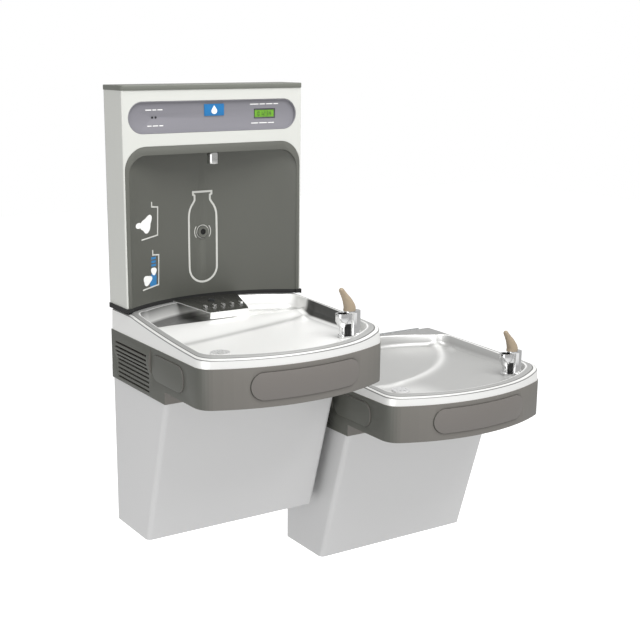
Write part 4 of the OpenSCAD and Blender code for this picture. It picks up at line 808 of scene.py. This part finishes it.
def strainer_tree():
    """A tree that drills a ring of holes through a disc."""
    group, enter, leave = new_tree("drilled_disc", [
        ("Radius", "NodeSocketFloat", 0.02), ("Thickness", "NodeSocketFloat", 0.0015),
        ("Holes", "NodeSocketInt", 8), ("Hole Radius", "NodeSocketFloat", 0.002),
        ("Ring Radius", "NodeSocketFloat", 0.01), ("Centre", "NodeSocketVector", None),
        ("Material", "NodeSocketMaterial", None)])
    new, link = group.nodes.new, group.links.new
    disc = new("GeometryNodeMeshCylinder")
    drill = new("GeometryNodeMeshCylinder")
    ring = new("GeometryNodeMeshCircle")
    put = new("GeometryNodeInstanceOnPoints")
    real = new("GeometryNodeRealizeInstances")
    cut = new("GeometryNodeMeshBoolean")
    move = new("GeometryNodeTransform")
    paint = new("GeometryNodeSetMaterial")
    disc.inputs["Vertices"].default_value = 64
    drill.inputs["Vertices"].default_value = 24
    drill.inputs["Depth"].default_value = 0.01
    cut.operation = "DIFFERENCE"
    link(enter.outputs["Radius"], disc.inputs["Radius"])
    link(enter.outputs["Thickness"], disc.inputs["Depth"])
    link(enter.outputs["Hole Radius"], drill.inputs["Radius"])
    link(enter.outputs["Holes"], ring.inputs["Vertices"])
    link(enter.outputs["Ring Radius"], ring.inputs["Radius"])
    link(ring.outputs[0], put.inputs["Points"])
    link(drill.outputs["Mesh"], put.inputs["Instance"])
    link(put.outputs[0], real.inputs[0])
    link(disc.outputs["Mesh"], cut.inputs["Mesh 1"])
    link(real.outputs[0], cut.inputs["Mesh 2"])
    link(cut.outputs[0], move.inputs[0])
    link(enter.outputs["Centre"], move.inputs["Translation"])
    link(move.outputs[0], paint.inputs[0])
    link(enter.outputs["Material"], paint.inputs["Material"])
    link(paint.outputs[0], leave.inputs[0])
    return group


DISC = strainer_tree()
for unit, offset in UNITS:
    disc = grown(unit + "_strainer_disc", DISC, {
        "Radius": DISC_R * MM, "Thickness": DISC_T * MM, "Holes": HOLES,
        "Hole Radius": HOLE_R * MM, "Ring Radius": HOLE_RING_R * MM,
        "Centre": mm(DRAIN[0], DRAIN[1], FLOOR + DISC_UP),
        "Material": MATERIALS["strainer_steel"]}, offset)
    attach(disc, "housing")

# %% [markdown]
# ## Prints
# The moulding carries printed lines: the outline of a bottle that shows where to hold it, rings
# round the sensor and two plain signs. All are drawn here as general shapes. A print is a strip of
# quads on the alcove's curve, 0.3 mm proud of it and closed, so that it exports as a solid film.
# %% Print helpers
ALCOVE_R, ALCOVE_BACK = 379.94, 23.0
PROUD, SUNK = 0.3, -0.2


def back_wall(x, z, lift):
    """The alcove's back, which is part of an upright cylinder."""
    return (x, -(ALCOVE_BACK + ALCOVE_R) + math.sqrt((ALCOVE_R - lift) ** 2 - x * x), z)


def flat(depth):
    """An upright face at a depth before the wall, on which a print can lie."""
    return lambda x, z, lift: (x, -depth - lift, z)


sensor_face, panel_face, glass_face, badge_face = flat(26.0), flat(84.0), flat(85.0), flat(85.5)


def strip(path, width, closed, where, top=PROUD):
    """A closed film along a path of (x, z) points, with mitred corners."""
    path = np.array(path, dtype=float)
    count, rings = len(path), []
    for i, here in enumerate(path):
        behind = path[i - 1] if closed or i else here
        ahead = path[(i + 1) % count] if closed or i < count - 1 else here
        come, go = here - behind, ahead - here
        come = come / np.hypot(*come) if np.hypot(*come) else go / np.hypot(*go)
        go = go / np.hypot(*go) if np.hypot(*go) else come
        side = np.array([-(come + go)[1], (come + go)[0]])
        side = side / np.hypot(*side)
        side = side / max(side @ np.array([-come[1], come[0]]), 0.5) * width / 2
        left, right = here + side, here - side
        rings.append([where(*left, SUNK), where(*left, top), where(*right, top),
                      where(*right, SUNK)])
    if closed:
        rings.append(rings[0])
    return skin(rings, cap_start=not closed, cap_end=not closed)


def film(path, where, top=PROUD):
    """A closed film that fills a loop of (x, z) points."""
    rings = [[where(x, z, lift) for x, z in path] for lift in (SUNK, top)]
    return skin(rings, cap_start=True, cap_end=True)


def join(parts):
    """Several films as one list of points and one of faces."""
    points, faces = [], []
    for p, f in parts:
        faces += [tuple(i + len(points) for i in face) for face in f]
        points += list(p)
    return points, faces


def prints(name, parts, material):
    """One printed piece from several films."""
    piece = build(name, *join(parts), smooth=30)
    piece.data.materials.append(MATERIALS[material])
    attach(piece, "housing")
    return piece


def circle(x, z, r, a0=0, a1=360, n=40):
    """A circle or part of one; a whole circle doesn't repeat its first point."""
    pts = arc((x, z), r, a0, a1, n)
    return pts[:-1] if a1 - a0 == 360 else pts


# %% [markdown]
# The bottle is a cap, a neck, round shoulders and a round foot. One half is written down and the
# other is its mirror image.
# %% Bottle outline and sensor rings
half = [(24, 300), (24, 294), (20, 292), (20, 281), (24, 275), (29, 268), (33, 260), (35.3, 251)]
half += [(36, 242), (36.3, 200), (36, 126)] + arc((0, 126), 36, -8, -90, 12)
bottle = half + [(-x, z) for x, z in half[::-1][1:]]
prints("bottle_outline", [strip(bottle, 4.6, True, back_wall)], "print_pale")
EYE_Z, FACE_R, RING_R, WAVE_R, WAVE_SPAN = 207.5, 10.2, 15.2, 21.0, 76
rings = [strip(circle(0, EYE_Z, RING_R), 1.6, True, back_wall)]
for start in (-38, 142):
    wave = circle(0, EYE_Z, WAVE_R, start, start + WAVE_SPAN, 14)
    rings.append(strip(wave, 1.8, False, back_wall))
prints("sensor_rings", rings, "print_pale")
prints("sensor_face", [strip(circle(0, EYE_Z, FACE_R), 6.6, True, sensor_face, 0.2)],
       "liner_plastic")

# %% [markdown]
# The two signs at the left say drink here and fill here without words: a wall with a basin's edge,
# a jet over a spout, and a bottle under a spout.
# %% Signs
def sign(low, high):
    """The bent line of one sign, between two heights."""
    return [(-142, high), (-142, high - 11), (-124, high - 13), (-126, low + 5), (-176, low)]


def lobes(x, z, r, stretch, waves, depth, turn):
    """A soft round shape with a wavy edge."""
    out = []
    for t in np.linspace(0, 2 * math.pi, 28, endpoint=False):
        q = r * (1 + depth * math.cos(waves * t))
        a, b = q * math.cos(t) * stretch, q * math.sin(t)
        out.append((x + a * math.cos(turn) - b * math.sin(turn),
                    z + a * math.sin(turn) + b * math.cos(turn)))
    return out


lines = [strip(sign(low, high), 3.0, False, back_wall) for low, high in ((94, 180), (207, 288))]
prints("sign_lines", lines, "print_pale")
OVER_BLUE = 0.45
shapes = [film(lobes(-160, 240, 15, 1.35, 3, 0.2, 0.9), back_wall),
          film(lobes(-184, 240, 7, 1.3, 2, 0.1, 0.0), back_wall),
          film(lobes(-140, 132, 9, 0.9, 3, 0.1, 0.5), back_wall, OVER_BLUE),
          film(lobes(-160, 114, 11, 1.2, 3, 0.15, 0.3), back_wall, OVER_BLUE)]
prints("sign_shapes", shapes, "print_white")
pool = [(-152, 98), (-152, 118), (-147, 127), (-134, 127), (-132, 118), (-133, 97)]
water = [film(pool, back_wall)]
for z in (143, 151, 159):
    water.append(film([(-147, z), (-147, z + 5), (-133, z + 5), (-133, z)], back_wall))
prints("sign_water", water, "print_blue")

# %% [markdown]
# The badge carries a plain water drop, and the display a row of plain digits made of seven bars
# each, in a thin dark frame. Rows of short dashes are printed beside the lenses and the display.
# %% Panel marks
drop = [(0, 497)]
drop += [(7.2 * math.sin(t), 484.5 - 6.6 * math.cos(t)) for t in np.linspace(2.2, -2.2, 24)]
prints("badge_drop", [film(drop, badge_face)], "print_white")
BARS = {"0": "abcdef", "1": "bc", "2": "abged", "3": "abgcd", "4": "fgbc"}
SEGMENT = {"a": (0, 1, 1, 1), "b": (1, 1, 1, 0), "c": (1, 0, 1, -1), "d": (0, -1, 1, -1),
           "e": (0, 0, 0, -1), "f": (0, 1, 0, 0), "g": (0, 0, 1, 0)}
DIGIT_X, DIGIT_Z, DIGIT_PITCH, DIGIT_W, DIGIT_H = 113.0, 476.0, 7.6, 3.8, 4.6
digits = []
for place, digit in enumerate("01234"):
    for bar in BARS[digit]:
        ends = [np.array([DIGIT_X + place * DIGIT_PITCH + DIGIT_W * across, DIGIT_Z + DIGIT_H * up])
                for across, up in (SEGMENT[bar][:2], SEGMENT[bar][2:])]
        gap = (ends[1] - ends[0]) / np.hypot(*(ends[1] - ends[0])) * 0.5
        digits.append(strip([ends[0] + gap, ends[1] - gap], 0.9, False, glass_face, 0.2))
prints("display_digits", digits, "print_dark")
WINDOW_X, WINDOW_Z = (104, 158), (466, 486)
corners = [(WINDOW_X[0], WINDOW_Z[0]), (WINDOW_X[0], WINDOW_Z[1]),
           (WINDOW_X[1], WINDOW_Z[1]), (WINDOW_X[1], WINDOW_Z[0])]
prints("display_frame", [strip(corners, 1.6, True, panel_face)], "print_dark")
DASH_ROWS = ((-168, 490, (14, 9, 12)), (-164, 456, (10, 13, 9)),
             (93, 497, (22, 14, 17, 12)), (96, 455, (18, 20, 16)))
DASH_GAP = 3
dashes = []
for x, z, widths in DASH_ROWS:
    for width in widths:
        dashes.append(strip([(x, z), (x + width, z)], 2.0, False, panel_face, 0.25))
        x += width + DASH_GAP
prints("panel_dashes", dashes, "print_white")

# %% [markdown]
# ## The spout under the guard
# In the cup of each bubbler sits a small turned nozzle with a round nose, in a black lining. A black
# insert fills the slot between the spout's post and the column.
# %% Nozzles, linings and inserts
CUP_X = -13.5
LINING = ((41.1, 9.8), (52.6, 9.8), (52.6, 8.9), (42.0, 8.6))
SPOUT = ((41.2, 5.5), (43.0, 5.5), (44.5, 4.6), (47.0, 4.2), (49.0, 3.4), (50.2, 1.8), (50.5, 0.6))
INSERT, INSERT_ENDS = ((-9, -5), (6, -5), (6, 5), (-9, 5)), (4.5, 31)


def lofted(name, rings, material, body, smooth):
    """A closed piece through rings, on the bubbler's body."""
    piece = build(name, *skin(rings, cap_start=True, cap_end=True), smooth=smooth)
    piece.data.materials.append(MATERIALS[material])
    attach(piece, body)


for unit, offset in UNITS:
    body = node_body[unit + "_bubbler"]
    lining = [ring_at(CUP_X, z, r, 0.0, offset, 28) for z, r in LINING]
    lofted(unit + "_cup_lining", lining, "cup_black", body, 50)
    insert = [[at_bubbler((x, y, z), offset) for x, y in INSERT] for z in INSERT_ENDS]
    lofted(unit + "_post_insert", insert, "cup_black", body, 30)
    spout = [ring_at(CUP_X, z, r, 0.0, offset, 28) for z, r in SPOUT]
    lofted(unit + "_spout_tip", spout, "bubbler_chrome", body, 50)

# %% [markdown]
# ## Stage, light and camera
# The station hangs on a wall in a white studio. The floor lies at the height at which such a
# station is hung over it. World and floor look white where the camera sees them straight, while
# the light that they send to the station stays at a plain level.
# %% Stage
def camera_mix(tree, plain, shown):
    """The shown one where the camera looks straight at it, the plain one for all other rays."""
    path = tree.nodes.new("ShaderNodeLightPath")
    mix = tree.nodes.new("ShaderNodeMixShader")
    tree.links.new(path.outputs["Is Camera Ray"], mix.inputs[0])
    tree.links.new(plain.outputs[0], mix.inputs[1])
    tree.links.new(shown.outputs[0], mix.inputs[2])
    return mix


WORLD_LIGHT, FLOOR_GLOW = 0.58, 0.55
world = bpy.data.worlds.new("studio")
scene.world = world
world.use_nodes = True
tree = world.node_tree
tree.nodes.clear()
out = tree.nodes.new("ShaderNodeOutputWorld")
white = tree.nodes.new("ShaderNodeBackground")
soft = tree.nodes.new("ShaderNodeBackground")
white.inputs["Color"].default_value = (1, 1, 1, 1)
white.inputs["Strength"].default_value = 1.0
soft.inputs["Color"].default_value = (1, 1, 1, 1)
soft.inputs["Strength"].default_value = WORLD_LIGHT
mix = camera_mix(tree, soft, white)
tree.links.new(mix.outputs[0], out.inputs["Surface"])

FLOOR_Z, FLOOR_HALF = -0.992, 9
floor_mesh = bpy.data.meshes.new("studio_floor")
floor_mesh.from_pydata([(x * FLOOR_HALF, y * FLOOR_HALF, FLOOR_Z)
                        for x, y in ((-1, -1), (1, -1), (1, 1), (-1, 1))], [], [(0, 1, 2, 3)])
floor = bpy.data.objects.new("studio_floor", floor_mesh)
scene.collection.objects.link(floor)
pale = finish("floor_white", "F2F2F2", 0.9, depth=0.0)
tree = pale.node_tree
glow = tree.nodes.new("ShaderNodeEmission")
glow.inputs["Color"].default_value = (1, 1, 1, 1)
glow.inputs["Strength"].default_value = FLOOR_GLOW
both = tree.nodes.new("ShaderNodeAddShader")
tree.links.new(shader_of(pale).outputs[0], both.inputs[0])
tree.links.new(glow.outputs[0], both.inputs[1])
mix = camera_mix(tree, shader_of(pale), both)
tree.links.new(mix.outputs[0], tree.nodes["Material Output"].inputs["Surface"])
floor_mesh.materials.append(pale)


# %% [markdown]
# Three soft lamps light the station: a high key before it, a fill at its left and one above. The
# camera stands where the photograph was taken from; it was found by fitting the unit's straight
# edges.
# %% Lamps and camera
def lamp(name, place, aim, size, power):
    """A soft area lamp at a place, turned to its aim."""
    data = bpy.data.lights.new(name, "AREA")
    data.shape = "RECTANGLE"
    data.size, data.size_y = size
    data.energy = power
    thing = bpy.data.objects.new(name, data)
    thing.location = place
    thing.rotation_euler = (Vector(aim) - Vector(place)).to_track_quat("-Z", "Y").to_euler()
    scene.collection.objects.link(thing)
    return thing


lamp("key_softbox", (0.6, -2.7, 3.0), (0.1, 0, -0.15), (2.2, 1.6), 75)
lamp("fill_softbox", (-3.0, -1.6, -0.1), (0.1, 0, -0.25), (1.8, 2.2), 25)
lamp("top_softbox", (0.3, -0.9, 2.4), (0.2, -0.25, 0), (1.8, 1.2), 42)

camera = bpy.data.cameras.new("photo_camera")
camera.sensor_width = 36.0
camera.lens = 66.416
camera.shift_x, camera.shift_y = 0.0801, 0.0288
camera.clip_end = 50
eye = bpy.data.objects.new("photo_camera", camera)
eye.location = (-1.2846, -2.4202, 0.6096)
eye.rotation_euler = (math.radians(76.402), 0.0, math.radians(-31.417))
scene.collection.objects.link(eye)
scene.camera = eye
scene.view_settings.view_transform = "Standard"
